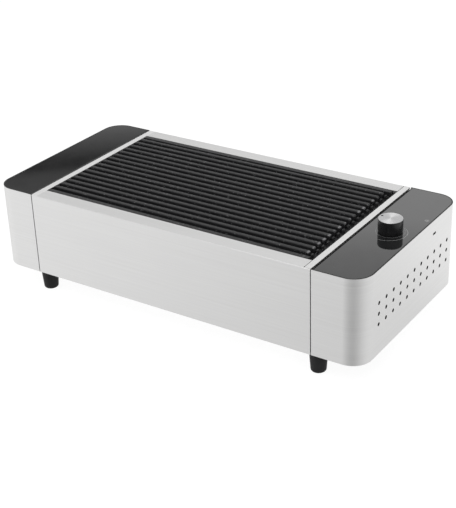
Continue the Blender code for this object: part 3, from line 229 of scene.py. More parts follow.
# A socket that reads like a number: an expression on it adds its Math nodes
class Wire:
    def __init__(self, tree, socket=None):
        self.tree = tree
        self.socket = socket

    def node(self, kind, settings=None, sockets=None, out=0):
        made = self.tree.nodes.new(kind)
        for key, value in (settings or {}).items():
            if key == "stops":
                while len(made.color_ramp.elements) < len(value):
                    made.color_ramp.elements.new(0.5)
                for element, (spot, colour) in zip(made.color_ramp.elements, value):
                    element.position = spot
                    element.color = (*colour, 1) if isinstance(colour, tuple) else (colour,) * 3 + (1,)
            else:
                setattr(made, key, value)
        for key, value in (sockets or {}).items():
            if isinstance(value, Wire):
                self.tree.links.new(value.socket, made.inputs[key])
            else:
                made.inputs[key].default_value = value
        return Wire(self.tree, made.outputs[out])

    def sum(self, operation, *values):
        return self.node("ShaderNodeMath", {"operation": operation}, dict(enumerate(values)))

    def __add__(self, other):
        return self.sum("ADD", self, other)

    def __sub__(self, other):
        return self.sum("SUBTRACT", self, other)

    def __rsub__(self, other):
        return self.sum("SUBTRACT", other, self)

    def __mul__(self, other):
        return self.sum("MULTIPLY", self, other)

    def __truediv__(self, other):
        return self.sum("DIVIDE", self, other)

    def __pow__(self, other):
        return self.sum("POWER", self, other)

    __radd__ = __add__
    __rmul__ = __mul__

    # smooth step from 0 at low to 1 at high
    def fade(self, low, high):
        return self.node("ShaderNodeMapRange", {"interpolation_type": "SMOOTHSTEP"},
                         {0: self, 1: low, 2: high, 3: 0.0, 4: 1.0})

    # the three parts of a vector
    def parts(self):
        cut = self.tree.nodes.new("ShaderNodeSeparateXYZ")
        self.tree.links.new(self.socket, cut.inputs[0])
        return [Wire(self.tree, socket) for socket in cut.outputs]

    def stretched(self, scale):
        return self.node("ShaderNodeMapping", None, {"Vector": self, "Scale": scale})

    def noise(self, scale, detail=2.0, rough=0.5):
        return self.node("ShaderNodeTexNoise", None,
                         {"Vector": self, "Scale": scale, "Detail": detail, "Roughness": rough})

    def cells(self, scale, out="Distance"):
        return self.node("ShaderNodeTexVoronoi", None, {"Vector": self, "Scale": scale}, out)

    def blendColours(self, a, b):
        # colour a where this is 0, b where it is 1
        mixed = self.tree.nodes.new("ShaderNodeMix")
        mixed.data_type = "RGBA"
        self.tree.links.new(self.socket, mixed.inputs["Factor"])
        for key, value in ((6, a), (7, b)):
            if isinstance(value, Wire):
                self.tree.links.new(value.socket, mixed.inputs[key])
            else:
                mixed.inputs[key].default_value = (*value, 1)
        return Wire(self.tree, mixed.outputs[2])

    def shade(self, *stops):
        # through a ramp of (place, colour) stops
        return self.node("ShaderNodeValToRGB", {"stops": stops}, {0: self}, "Color")

    def bump(self, height, strength=1.0):
        return self.node("ShaderNodeBump", None, {"Height": self, "Distance": height, "Strength": strength})


def newFinish(name, recipe, **fixed):
    finish = bpy.data.materials.new(name)
    finish.use_nodes = True
    tree = finish.node_tree
    shader = tree.nodes["Principled BSDF"]
    for socket, value in fixed.items():
        shader.inputs[socket.replace("_", " ")].default_value = value
    place = Wire(tree).node("ShaderNodeTexCoord", out="Object")
    for socket, value in recipe(place).items():
        tree.links.new(value.socket, shader.inputs[socket])
    return finish


def setFinish(piece, finish):
    for polygon in piece.data.polygons:
        polygon.material_index = 0
    piece.data.materials.clear()
    piece.data.materials.append(finish)


def settle(piece, body, replaced, finish):
    # the piece is done: it rides on its body and stands for its CAD nodes
    setFinish(piece, finish)
    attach(piece, body)
    if replaced:
        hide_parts(*replaced)
    print("made", piece.name, len(piece.data.polygons), "faces")


def finishNodes(names, finish):
    for name in names:
        for i in range(len(nodes[name].material_slots)):
            nodes[name].material_slots[i].material = finish


# Camera at the photograph's angle

cameraSpot = {
    "place": (0.8672, -1.2645, 0.8441),
    "ahead": (-0.50034, 0.73571, -0.45650),
    "up": (-0.22660, 0.39759, 0.88914),
    "lens": 85.42, "sensor": 36,        # mm, for the long side of 456 x 508
}


def placeCamera():
    lens = bpy.data.cameras.new("viewLens")
    lens.lens = cameraSpot["lens"]
    lens.sensor_width = cameraSpot["sensor"]
    lens.sensor_fit = "AUTO"
    lens.clip_start = 0.01
    lens.clip_end = 50
    viewer = bpy.data.objects.new("viewCamera", lens)
    bpy.context.scene.collection.objects.link(viewer)
    ahead = Vector(cameraSpot["ahead"]).normalized()
    right = ahead.cross(Vector(cameraSpot["up"])).normalized()
    up = right.cross(ahead)
    turn = Matrix((right, up, -ahead)).transposed().to_4x4()
    viewer.matrix_world = Matrix.Translation(cameraSpot["place"]) @ turn
    bpy.context.scene.camera = viewer


# Soft studio: white to the camera, a plain room to everything else

studio = {
    "room": 0.78,            # level for matt surfaces
    # level that upright metal mirrors from below, by compass angle in degrees
    "lowStops": ((-180, 1.15), (-125, 1.14), (-100, 0.83), (-78, 0.62), (-60, 0.52), (-42, 0.68),
                 (-20, 0.90), (5, 1.07), (30, 1.15), (56, 1.10), (100, 1.10), (180, 1.15)),
    "skyGloss": ((0.0, 1.04), (0.35, 0.93), (0.5, 0.80), (1.0, 0.78)),   # by height, from above
    "ahead": (-0.562, 0.827),
    "across": (0.827, 0.562),
    "toBack": (0.4, 0.6),
    "horizon": (-0.02, 0.02),
    # what the left and the right glass panel mirror, by height of the ray
    "panels": (
        {"span": (0.35, 0.40), "soft": 0.02, "from": (-0.26, -0.21), "to": (-0.06, 0.03), "gain": 1.0,
         "stops": ((0.10, 0.56), (0.28, 0.36), (0.42, 0.24), (0.56, 0.08), (0.68, 0.08), (0.76, 0.27),
                   (1.0, 0.30))},
        {"span": (0.41, 0.48), "soft": 0.03, "from": (0.0, 0.07), "to": (0.20, 0.26), "gain": 2.0,
         "stops": ((0.10, 0.725), (0.30, 0.75), (0.52, 0.63), (0.66, 0.56), (0.95, 0.49))},
    ),
    "panelTop": (0.01, 0.04),
    "rampTop": 2.0,          # level that stands at 1 in the ramp for upright metal
    "keyPlace": (0.35, -0.9, 1.5),
    "keyAim": (0, 0, 0.1),
    "keySize": 1.2,
    "keyPower": 9.0,
    "floorSize": 12,
    "floorTint": (0.90, 0.90, 0.90),
    "floorLight": 1.1,
    "floorGlow": 0.84,       # share of the floor that the camera sees as plain white
    # how bright the floor is in mirror images: brighter in front on the left and at the right end's back
    "floorLow": 0.80,
    "floorLeft": ((-0.5, 0.25), 0.13),
    "floorFront": (-0.14, -0.04),
    "floorBack": ((0.04, 0.34), 0.26),
    "floorEnd": (0.12, 0.28),
    "floorFar": ((0.38, 0.50), -0.10),
    "floorBehind": (0.1, 0.2),
}


def lightStudio():
    world = bpy.data.worlds.new("softRoom")
    bpy.context.scene.world = world
    world.use_nodes = True
    tree = world.node_tree
    back = tree.nodes["Background"]
    start = Wire(tree)
    rays = tree.nodes.new("ShaderNodeLightPath")
    seen = Wire(tree, rays.outputs["Is Camera Ray"])
    mirrored = Wire(tree, rays.outputs["Is Glossy Ray"])
    x, y, z = start.node("ShaderNodeTexCoord", out="Generated").parts()
    ax, ay = studio["across"]
    side = x * ax + y * ay
    fx, fy = studio["ahead"]
    toBack = (x * fx + y * fy).fade(*studio["toBack"])
    sky = z.shade(*studio["skyGloss"])
    past, clear = studio["panelTop"]
    for panel in studio["panels"]:
        low, high = panel["span"]
        level = ((z - low) / (high - low)).shade(*panel["stops"]) * panel["gain"]
        mask = toBack * z.fade(low - panel["soft"], low) * (1 - z.fade(high + past, high + clear)) * (
            side.fade(*panel["from"]) * (1 - side.fade(*panel["to"])))
        sky = mask * level + (1 - mask) * sky
    up = z.fade(*studio["horizon"])
    compass = y.sum("ARCTAN2", y, x) / (2 * math.pi) + 0.5
    top = studio["rampTop"]
    stops = [(turn / 360 + 0.5, level / top) for turn, level in studio["lowStops"]]
    gloss = up * sky + (1 - up) * (compass.shade(*stops) * top)
    strength = seen + (1 - seen) * (mirrored * gloss + (1 - mirrored) * studio["room"])
    tree.links.new(strength.socket, back.inputs["Strength"])
    back.inputs["Color"].default_value = (1, 1, 1, 1)

    lamp = bpy.data.lights.new("softKey", "AREA")
    lamp.shape = "DISK"
    lamp.size = studio["keySize"]
    lamp.energy = studio["keyPower"]
    key = bpy.data.objects.new("softKey", lamp)
    bpy.context.scene.collection.objects.link(key)
    key.location = studio["keyPlace"]
    aim = Vector(studio["keyPlace"]) - Vector(studio["keyAim"])
    key.rotation_euler = aim.to_track_quat("Z", "Y").to_euler()

    bpy.ops.object.select_all(action="DESELECT")
    bpy.ops.mesh.primitive_plane_add(size=studio["floorSize"], location=(0, 0, 0))
    floor = bpy.context.object
    floor.name = "paleFloor"
    finish = bpy.data.materials.new("paleFloor")
    finish.use_nodes = True
    tree = finish.node_tree
    tree.nodes.clear()
    start = Wire(tree)
    rays = tree.nodes.new("ShaderNodeLightPath")
    seen = Wire(tree, rays.outputs["Is Camera Ray"])
    mirrored = Wire(tree, rays.outputs["Is Glossy Ray"])
    chalk = start.node("ShaderNodeBsdfDiffuse", None, {"Color": (*studio["floorTint"], 1)})
    glow = start.node("ShaderNodeEmission", None, {"Color": (1, 1, 1, 1), "Strength": studio["floorLight"]})
    x, y = start.node("ShaderNodeTexCoord", out="Object").parts()[:2]
    across, toLeft = studio["floorLeft"]
    along, toBack = studio["floorBack"]
    far, toFar = studio["floorFar"]
    gain = (1 - x.fade(*across)) * (1 - y.fade(*studio["floorFront"])) * toLeft + studio["floorLow"]
    gain = gain + y.fade(*along) * x.fade(*studio["floorEnd"]) * toBack
    gain = gain + y.fade(*studio["floorBehind"]) * x.fade(*far) * toFar
    through = start.node("ShaderNodeBsdfTransparent", None, {"Color": gain})
    plain = start.node("ShaderNodeMixShader", None, {0: seen * studio["floorGlow"], 1: chalk, 2: glow})
    whole = start.node("ShaderNodeMixShader", None, {0: mirrored, 1: plain, 2: through})
    out = tree.nodes.new("ShaderNodeOutputMaterial")
    tree.links.new(whole.socket, out.inputs["Surface"])
    setFinish(floor, finish)
    bpy.context.scene.view_settings.view_transform = "Standard"


placeCamera()
lightStudio()
print("camera, lights and floor placed")


# Finishes

def brushedSteel(name, scale, tone=0.74, across=0.5, edges=None, bright=None):
    # fine scratches along the long side, broad faint clouds of wear
    def recipe(place):
        scratch = place.stretched(scale).noise(1.0, 3.0, 0.6)
        coarse = place.stretched(tuple(s * 0.35 for s in scale)).noise(1.0, 2.0)
        cloud = place.noise(14.0, 3.0)
        worn = scratch * 0.6 + coarse * 0.4
        shade = worn.shade((0.30, (tone * 0.96, tone * 0.956, tone * 0.952)),
                           (0.70, (tone * 1.035, tone * 1.035, tone * 1.03)))
        # painted paler where the bright mask is 1
        if bright:
            shade = bright(*place.parts()).blendColours(shade, (0.86, 0.857, 0.853))
        # painted shade: near black where the edges mask is 1
        if edges:
            shade = edges(*place.parts()).blendColours(shade, (0.05, 0.05, 0.05))
        return {"Base Color": shade,
                "Roughness": worn * 0.16 + cloud * 0.06 + 0.31,
                "Normal": scratch.bump(0.00002, across)}
    return newFinish(name, recipe, Metallic=1.0)


# where the steel gets painted shade (rim, vent walls, joint) and where the left strip is painted paler
edgeLook = {
    "rim": (0.15578, 0.15592),          # height of the cut rim beside the glass
    "wallInner": (0.28, 0.29), "wallOuter": (0.29466, 0.29484), "wallSquare": (0.0123, 0.0126),
    "wallFoot": (0.05, 0.06), "wallHead": (0.145, 0.148),
    "jointX": (0.2110, 0.2114), "jointFoot": (0.152, 0.153), "jointHead": (0.15568, 0.15582),
    "jointSquare": (0.0190, 0.0192),    # square of the distance from the middle
    "stripX": (-0.2176, -0.2170), "stripFoot": (0.1553, 0.1556), "stripShare": 0.85,
}


def rimAndVentShade(x, y, z):
    # painted shade on the cut edges: the rim beside the glass and the walls of the punched holes go near
    # black, for the shadow in the gap by the glass and inside the holes
    e = edgeLook
    wall = (1 - x.fade(*e["wallOuter"])) * x.fade(*e["wallInner"]) * (1 - (y * y).fade(*e["wallSquare"])) * (
        1 - z.fade(*e["wallHead"])) * z.fade(*e["wallFoot"])
    return z.fade(*e["rim"]) + wall


def jointShade(x, y, z):
    # painted shade on the cut edge in the joint beside the right strip, for the shadow in the joint
    e = edgeLook
    return x.fade(*e["jointX"]) * z.fade(*e["jointFoot"]) * (1 - z.fade(*e["jointHead"])) * (
        1 - (y * y).fade(*e["jointSquare"]))


def paleLeftStrip(x, y, z):
    # the narrow strip at the left of the grid, painted paler than the sheet around it
    e = edgeLook
    return (1 - x.fade(*e["stripX"])) * z.fade(*e["stripFoot"]) * e["stripShare"]


sheetSteel = brushedSteel("brushedSheet", (8, 900, 900), edges=jointShade, bright=paleLeftStrip)
endSteel = brushedSteel("brushedEnd", (9, 9, 900), edges=rimAndVentShade)
stripSteel = brushedSteel("brushedStrip", (900, 8, 900), 0.80)
innerSteel = brushedSteel("plainSheet", (60, 60, 500), 0.60, 0.3)


# where the painted highlight sits on the rib noses
enamelLook = {"glintFrom": (0.1955, 0.1975), "glintTo": (0.1990, 0.1996), "glintFoot": (0.1558, 0.1564)}


def enamel(place):
    # cast iron coat: pitted skin, pale dust specks, painted highlights on the rib noses
    grain = place.noise(900.0, 4.0, 0.65)
    lumps = place.noise(220.0, 3.0)
    dots = place.cells(420.0)
    pickDots = place.noise(160.0, 2.0)
    specksAndNoseGlint = (1 - dots.fade(0.12, 0.30)) * pickDots.fade(0.53, 0.64)
    # painted highlight: pale flecks on the rounded noses of the ribs, where they catch the light
    x, z = place.parts()[::2]
    e = enamelLook
    noseGlint = x.fade(*e["glintFrom"]) * (1 - x.fade(*e["glintTo"])) * z.fade(*e["glintFoot"])
    specksAndNoseGlint = specksAndNoseGlint + noseGlint * place.noise(70.0, 1.0).fade(0.40, 0.60) * 0.8
    shade = specksAndNoseGlint.blendColours(grain.shade((0.3, (0.007, 0.007, 0.0075)), (0.75, (0.022, 0.022, 0.0235))),
                               (0.22, 0.22, 0.225))
    return {"Base Color": shade,
            "Roughness": lumps * 0.2 + 0.34,
            "Normal": (grain * 0.5 + lumps * 0.7).bump(0.0003, 0.6)}


castEnamel = newFinish("castEnamel", enamel, Metallic=0.0, IOR=1.36)


def knobSides(place):
    grain = place.stretched((300, 300, 60)).noise(1.0, 2.0)
    return {"Base Color": grain.shade((0.3, (0.004, 0.004, 0.0045)), (0.7, (0.009, 0.009, 0.0095))),
            "Roughness": grain * 0.12 + 0.20,
            "Normal": grain.bump(0.00001, 0.4)}


knobBlack = newFinish("knobGloss", knobSides, IOR=1.45)


def rubber(place):
    grain = place.noise(1400.0, 3.0, 0.6)
    rub = place.noise(90.0, 2.0)
    return {"Base Color": rub.shade((0.3, (0.010, 0.010, 0.0105)), (0.7, (0.017, 0.017, 0.0175))),
            "Roughness": rub * 0.2 + 0.5,
            "Normal": grain.bump(0.00006, 0.5)}


footRubber = newFinish("footRubber", rubber, IOR=1.28)

knobLook = {
    "axis": (0.2596, 0.0015),
    "ring": 0.0190,
    "ringWidth": 0.00045,
    "scaleStart": (0.454, 0.0223),      # angle and radius of the heat scale's outer line
    "scaleGrowth": 0.00314,
    "scaleSpan": (-1.65, 1.0),
    "mark": (0.2872, 0.0528),
    "markSize": 0.0026,
    "markLine": 0.0003,
    "groundEdge": (0.1552, 0.1556),     # height of the glass's ground edge
    "dimple": (-0.0127, 0.0014),
    "dimpleRadius": 0.0019,
}


def panelGlass(name, printed):
    def recipe(place):
        x, y, z = place.parts()
        haze = place.noise(35.0, 3.0, 0.6)
        lint = place.cells(300.0)
        dust = (1 - lint.fade(0.03, 0.10)) * place.noise(60.0).fade(0.58, 0.64)
        shade = haze.shade((0.3, (0.010, 0.010, 0.0105)), (0.7, (0.016, 0.0162, 0.0165)))
        shade = (dust * 0.25).blendColours(shade, (0.5, 0.5, 0.5))
        if printed:
            ax, ay = knobLook["axis"]
            away = ((x - ax) * (x - ax) + (y - ay) * (y - ay)) ** 0.5
            half = knobLook["ringWidth"] / 2
            off = away - knobLook["ring"]
            ring = (1 - (off * off) ** 0.5 * (1 / half)).fade(0.0, 0.6)
            # heat scale: its outer line moves away from the ring as it goes round
            turn = away.sum("ARCTAN2", y - ay, x - ax)
            start, radius = knobLook["scaleStart"]
            low, high = knobLook["scaleSpan"]
            off = away - radius - (start - turn) * knobLook["scaleGrowth"]
            scale = (1 - (off * off) ** 0.5 * (1 / half)).fade(0.0, 0.6)
            scale = scale * turn.fade(low - 0.1, low) * (1 - turn.fade(high, high + 0.1))
            # a plain round mark near the edge
            mx, my = knobLook["mark"]
            off = ((x - mx) * (x - mx) + (y - my) * (y - my)) ** 0.5
            size = knobLook["markSize"]
            rim = (1 - ((off - size) * (off - size)) ** 0.5 * (1 / knobLook["markLine"])).fade(0.0, 0.6)
            dot = 1 - off.fade(size * 0.28, size * 0.42)
            ink = ring * 0.35 + scale * 0.8 + rim * 0.7 + dot * 0.7
            shade = ink.blendColours(shade, (0.58, 0.58, 0.58))
        # the ground edge is paler and matt
        ground = 1 - z.fade(*knobLook["groundEdge"])
        shade = ground.blendColours(shade, (0.085, 0.085, 0.087))
        return {"Base Color": shade, "Roughness": haze * 0.03 + ground * 0.45 + 0.025}
    return newFinish(name, recipe, IOR=1.52)


leftGlass = panelGlass("panelGlassLeft", False)
rightGlass = panelGlass("panelGlassRight", True)


def spunDisc(place):
    # fine rings turned into the metal; painted highlight: bright wedges by angle round the axis
    x, y = place.parts()[:2]
    ax, ay = knobLook["axis"]
    dx, dy = x - ax, y - ay
    away = (dx * dx + dy * dy) ** 0.5
    rings = away.node("ShaderNodeCombineXYZ", None, {0: away * 2600.0}).noise(1.0, 3.0)
    turn = dy.sum("ARCTAN2", dy, dx)
    highlightWedge = (turn.sum("SINE", turn * 2.0 - 1.90) * 0.5 + 0.5) ** 3.0
    fine = turn.node("ShaderNodeCombineXYZ", None, {0: turn * 7.0}).noise(1.0, 3.0)
    bright = highlightWedge * 0.6 + fine * 0.4
    # painted shade: the pointer's hollow is coloured near black, for the dark inside of the hollow
    px, py = knobLook["dimple"]
    spot = ((dx - px) * (dx - px) + (dy - py) * (dy - py)) ** 0.5
    hollowShade = 1 - spot.fade(knobLook["dimpleRadius"] * 0.70, knobLook["dimpleRadius"] * 0.92)
    metal = bright.shade((0.15, (0.45, 0.45, 0.455)), (0.85, (0.71, 0.71, 0.71)))
    return {"Base Color": hollowShade.blendColours(metal, (0.02, 0.02, 0.02)),
            "Roughness": rings * 0.14 + 0.2,
            "Normal": rings.bump(0.00002, 0.5)}


knobMetal = newFinish("spunDisc", spunDisc, Metallic=1.0)


def plastic(place):
    grain = place.noise(1100.0, 3.0, 0.6)
    wear = place.noise(40.0, 2.0)
    return {"Base Color": wear.shade((0.3, (0.016, 0.016, 0.0165)), (0.7, (0.024, 0.024, 0.025))),
            "Roughness": wear * 0.12 + 0.36,
            "Normal": grain.bump(0.00004, 0.5)}


blackPlastic = newFinish("blackPlastic", plastic, IOR=1.46)


def foamAndGrooveShade(place):
    # near black: partly the foam's own black, partly painted shade for the shadow in the groove beside the
    # right strip
    pores = place.cells(1500.0)
    return {"Base Color": pores.shade((0.0, (0.001, 0.001, 0.001)), (0.6, (0.005, 0.005, 0.005))),
            "Roughness": pores * 0.1 + 0.85,
            "Normal": pores.bump(0.0002, 0.7)}


foamSealGrooveShade = newFinish("foamSealGrooveShade", foamAndGrooveShade, IOR=1.15)


def putty(place):
    grain = place.noise(1200.0, 3.0)
    return {"Base Color": grain.shade((0.3, (0.055, 0.055, 0.056)), (0.7, (0.075, 0.075, 0.077))),
            "Roughness": grain * 0.1 + 0.7,
            "Normal": grain.bump(0.00005, 0.5)}


greyPutty = newFinish("greyPutty", putty, IOR=1.3)


coalLook = {"heat": (0.115, 0.05)}      # heights where the bluing starts and is strongest


def coalSteel(place):
    # blued and sooty where the coals sit
    cloud = place.noise(22.0, 4.0, 0.6)
    grain = place.stretched((40, 40, 600)).noise(1.0, 3.0)
    z = place.parts()[2]
    heat = cloud * 0.6 + z.fade(*coalLook["heat"]) * 0.4
    shade = heat.shade((0.25, (0.46, 0.43, 0.38)), (0.5, (0.30, 0.24, 0.18)), (0.8, (0.10, 0.10, 0.12)))
    return {"Base Color": shade,
            "Roughness": cloud * 0.3 + 0.3,
            "Normal": (grain + cloud).bump(0.00008, 0.4)}


heatedSteel = newFinish("heatedSteel", coalSteel, Metallic=1.0)


def zincPlate(place):
    spangle = place.cells(900.0, "Color").parts()[0]
    grain = place.noise(700.0, 3.0)
    return {"Base Color": spangle.shade((0.0, (0.50, 0.50, 0.51)), (1.0, (0.62, 0.62, 0.63))),
            "Roughness": grain * 0.2 + 0.25,
            "Normal": grain.bump(0.00003, 0.4)}


zincScrew = newFinish("zincScrew", zincPlate, Metallic=1.0)


def windings(place):
    # wound wire round the motor's middle
    x = place.parts()[0]
    lay = x.sum("SINE", x * 9000.0) * 0.5 + 0.5
    tint = place.noise(120.0, 2.0)
    mixed = lay * 0.7 + tint * 0.3
    return {"Base Color": mixed.shade((0.2, (0.20, 0.09, 0.04)), (0.8, (0.62, 0.30, 0.13))),
            "Roughness": tint * 0.15 + 0.25,
            "Normal": lay.bump(0.0001, 0.6)}


motorCopper = newFinish("motorCopper", windings, Metallic=1.0)


def solderMask(place):
    # copper tracks under green lacquer, with small pads
    runs = place.stretched((1, 1, 0)).cells(210.0, "Color").parts()[0]
    black, white = (0, 0, 0, 1), (1, 1, 1, 1)
    bricks = {"Vector": place.stretched((220, 220, 0)), "Scale": 1.0, "Mortar Size": 0.06,
              "Color1": black, "Color2": black, "Mortar": white}
    lanes = place.node("ShaderNodeTexBrick", {"offset": 0.5}, bricks, "Color").parts()[0]
    pads = 1 - place.stretched((1, 1, 0)).cells(180.0).fade(0.16, 0.22)
    shade = lanes.blendColours((0.012, 0.10, 0.035), (0.03, 0.19, 0.07))
    shade = (pads * runs.fade(0.55, 0.6)).blendColours(shade, (0.55, 0.53, 0.48))
    return {"Base Color": shade, "Roughness": lanes * 0.1 + 0.3, "Normal": (lanes + pads).bump(0.00006, 0.6)}


boardGreen = newFinish("solderMask", solderMask)

cellLook = {"band": 0.013, "bandSoft": 0.0002, "cap": (0.0020, 0.0018), "base": (0.0006, 0.0008)}


def cellWrap(place):
    # printed sleeve: dark band at one end, bare metal at both
    x = place.parts()[0]
    lo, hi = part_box("battery_cell_1")
    start = hi.x - cellLook["band"]
    band = x.fade(start - cellLook["bandSoft"], start)
    (cap0, cap1), (base0, base1) = cellLook["cap"], cellLook["base"]
    bare = x.fade(hi.x - cap0, hi.x - cap1) + 1 - x.fade(lo.x + base0, lo.x + base1)
    grain = place.noise(500.0, 2.0)
    sleeve = band.blendColours((0.012, 0.012, 0.014), (0.62, 0.36, 0.06))
    shade = bare.blendColours(sleeve, (0.62, 0.62, 0.63))
    return {"Base Color": shade, "Roughness": grain * 0.12 + 0.24, "Normal": grain.bump(0.00002, 0.4),
            "Metallic": bare * 0.9 + 0.1}


cellSleeve = newFinish("cellSleeve", cellWrap)
print("finishes mixed")


# Centre of the body: one bent sheet with the opening in its top

bodyLook = {
    "sheet": 0.0012,
    "bend": 0.0016,         # outside radius of a fold
    "lip": 0.0083,
    "corner": 0.028,
    "edge": 0.00025,
    "past": 0.004,
    "screwHole": 0.0018,
    "holeRise": 0.003,
    "holeLong": 0.004,
    "endX": 0.295,
    "half": 0.140,
    "gap": 0.0003,
    "ledge": 0.007,
    "ledgeSeam": 0.012,     # width of the ledge at the seam
    "stripPlay": 0.0007,
    "stripEdge": 0.0004,
    "near": 0.00005,
}
openingBox = {"left": -0.2174, "right": 0.2131, "front": -0.1182, "back": 0.1182}


def edgeAlong(axis):
    # tests that an edge runs along one axis
    def test(edge):
        run = (edge.verts[0].co - edge.verts[1].co).normalized()
        return abs(run[axis]) > 0.999
    return test


def lipHoles(left, right):
    # holes in the folded lips, under the base screws
    tools = []
    for node in sorted(n for n in nodes if n.startswith("base_screw")):
        lo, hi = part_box(node)
        mid = (lo + hi) / 2
        if left < mid.x < right:
            spot = (mid.x, mid.y, lo.z + bodyLook["holeRise"])
            tools.append(addRod("lipHole", spot, bodyLook["screwHole"], bodyLook["holeLong"], "Z", 24))
    return tools


def makeCentreShell():
    lo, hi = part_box("centre_shell")
    t, past = bodyLook["sheet"], bodyLook["past"]
    shell = addBlock("centreShell", lo, hi)
    roundEdges(shell, edgeAlong(0), bodyLook["bend"], 5)
    inside = addBlock("toolInside", (lo.x - past, lo.y + t, lo.z + t), (hi.x + past, hi.y - t, hi.z - t))
    lip = bodyLook["lip"]
    under = addBlock("toolUnder", (lo.x - past, lo.y + lip, lo.z - past),
                     (hi.x + past, hi.y - lip, lo.z + t + past))
    hole = addBlock("toolOpening", (openingBox["left"], openingBox["front"], hi.z - t - past),
                    (hi.x + past, openingBox["back"], hi.z + past))
    seat = addBlock("toolSeat", (openingBox["right"] - bodyLook["stripPlay"], lo.y + t, hi.z - t - past),
                    (hi.x + past, hi.y - t, hi.z + past))
    cutAway(shell, inside, under, hole, seat, *lipHoles(lo.x, hi.x))
    tidyMesh(shell)
    softenEdges(shell, bodyLook["edge"])
    smooth(shell)
    settle(shell, "housing", ["centre_shell"], sheetSteel)


# Wrapped ends, the right one with its vents and power slot

ventLook = {
    "columns": 11, "rows": 3, "radius": 0.0027, "sides": 24,
    "firstY": -0.0965, "lastY": 0.1035, "firstZ": 0.1083, "pitchZ": 0.0152,
    "slotY": 0.0612, "slotZ": 0.136, "slotWide": 0.0094, "slotHigh": 0.0030, "slotCorner": 0.0012,
    "reach": 0.005,     # of a tool to each side of the wall's outside
}


def endBlock(name, side, inset, seam, z0, z1, steps=24):
    # a block with the two outer corners of an end
    outer = side * (bodyLook["endX"] - inset)
    half = bodyLook["half"] - inset
    piece = addBlock(name, (min(seam, outer), -half, z0), (max(seam, outer), half, z1))

    def outerUpright(edge):
        return edgeAlong(2)(edge) and abs(edge.verts[0].co.x - outer) < bodyLook["near"]
    roundEdges(piece, outerUpright, bodyLook["corner"] - inset, steps)
    return piece


def makeEndShell(name, node, side):
    lo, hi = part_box(node)
    seam = hi.x if side < 0 else lo.x
    t, past, lip = bodyLook["sheet"], bodyLook["past"], bodyLook["lip"]
    openSeam = seam - side * past
    shell = endBlock(name, side, 0.0, seam, lo.z, hi.z)

    def lowOuter(edge):
        a, b = edge.verts
        near = bodyLook["near"]
        return max(abs(a.co.z - lo.z), abs(b.co.z - lo.z)) < near and not (
            max(abs(a.co.x - seam), abs(b.co.x - seam)) < near)
    roundEdges(shell, lowOuter, bodyLook["bend"], 4)
    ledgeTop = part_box("left_panel_seal")[0].z - bodyLook["gap"]
    ledgeUnder = ledgeTop - t
    inside = endBlock("toolInside", side, t, openSeam, lo.z + t, ledgeUnder)
    under = endBlock("toolUnder", side, lip, openSeam, lo.z - past, lo.z + t + past)
    seat = endBlock("toolSeat", side, t, openSeam, ledgeTop, hi.z + past)
    hole = endBlock("toolLedge", side, t + bodyLook["ledge"], seam + side * bodyLook["ledgeSeam"],
                    ledgeUnder - past, ledgeTop + past)
    tools = [inside, under, seat, hole] + lipHoles(*sorted((seam, side * bodyLook["endX"])))
    if side > 0:
        tools += ventTools()
    cutAway(shell, *tools)
    tidyMesh(shell)
    softenEdges(shell, bodyLook["edge"])
    smooth(shell)
    settle(shell, "housing", [node], endSteel)


def ventTools():
    # one round tool copied to every vent, and a rounded block for the power slot
    wall, reach = bodyLook["endX"], ventLook["reach"]
    first = addRod("toolVent", (wall, ventLook["firstY"], ventLook["firstZ"]), ventLook["radius"], 2 * reach,
                   "X", ventLook["sides"])
    pitchY = (ventLook["lastY"] - ventLook["firstY"]) / (ventLook["columns"] - 1)
    spots = [(0, column * pitchY, -row * ventLook["pitchZ"])
             for row in range(ventLook["rows"]) for column in range(ventLook["columns"])]
    joinAll(first, copyAlong(first, spots[1:]))
    y, z = ventLook["slotY"], ventLook["slotZ"]
    wide, high = ventLook["slotWide"] / 2, ventLook["slotHigh"] / 2
    slot = addBlock("toolSlot", (wall - reach, y - wide, z - high), (wall + reach, y + wide, z + high))
    roundEdges(slot, edgeAlong(0), ventLook["slotCorner"], 6)
    return [first, slot]


panelLook = {"inset": 0.0015, "bush": 0.0039, "bushLong": 0.012, "rim": 0.0004}


def makePanel(name, node, side, finish):
    lo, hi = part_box(node)
    seam = hi.x if side < 0 else lo.x
    glass = endBlock(name, side, panelLook["inset"], seam, lo.z, hi.z, 20)
    if side > 0:
        x, y = knobLook["axis"]
        cutAway(glass, addRod("toolBush", (x, y, lo.z), panelLook["bush"], panelLook["bushLong"], "Z", 32))

    def topRim(edge):
        return min(v.co.z for v in edge.verts) > hi.z - bodyLook["near"] and edge.is_manifold and (
            edge.calc_face_angle(0) > 1.0)
    roundEdges(glass, topRim, panelLook["rim"], 3)
    smooth(glass)
    settle(glass, "housing", [node], finish)


makeCentreShell()
makeEndShell("leftEndShell", "left_end_shell", -1)
makeEndShell("rightEndShell", "right_end_shell", 1)
makePanel("leftPanel", "left_panel", -1, leftGlass)
makePanel("rightPanel", "right_panel", 1, rightGlass)
rightStrip = refinedCopy("rightStrip", "right_bulkhead", bodyLook["stripEdge"])
settle(rightStrip, "housing", ["right_bulkhead"], stripSteel)


# Soft seals: the flat ring under the glass, and a bead that closes the groove beside the strip; the right
# one is near black, partly painted shade for that groove

sealLook = {"gap": 0.0003, "end": 0.1386, "round": 0.0004, "lap": 0.0001, "leftTop": 0.1558,
            "rightTop": 0.1546}


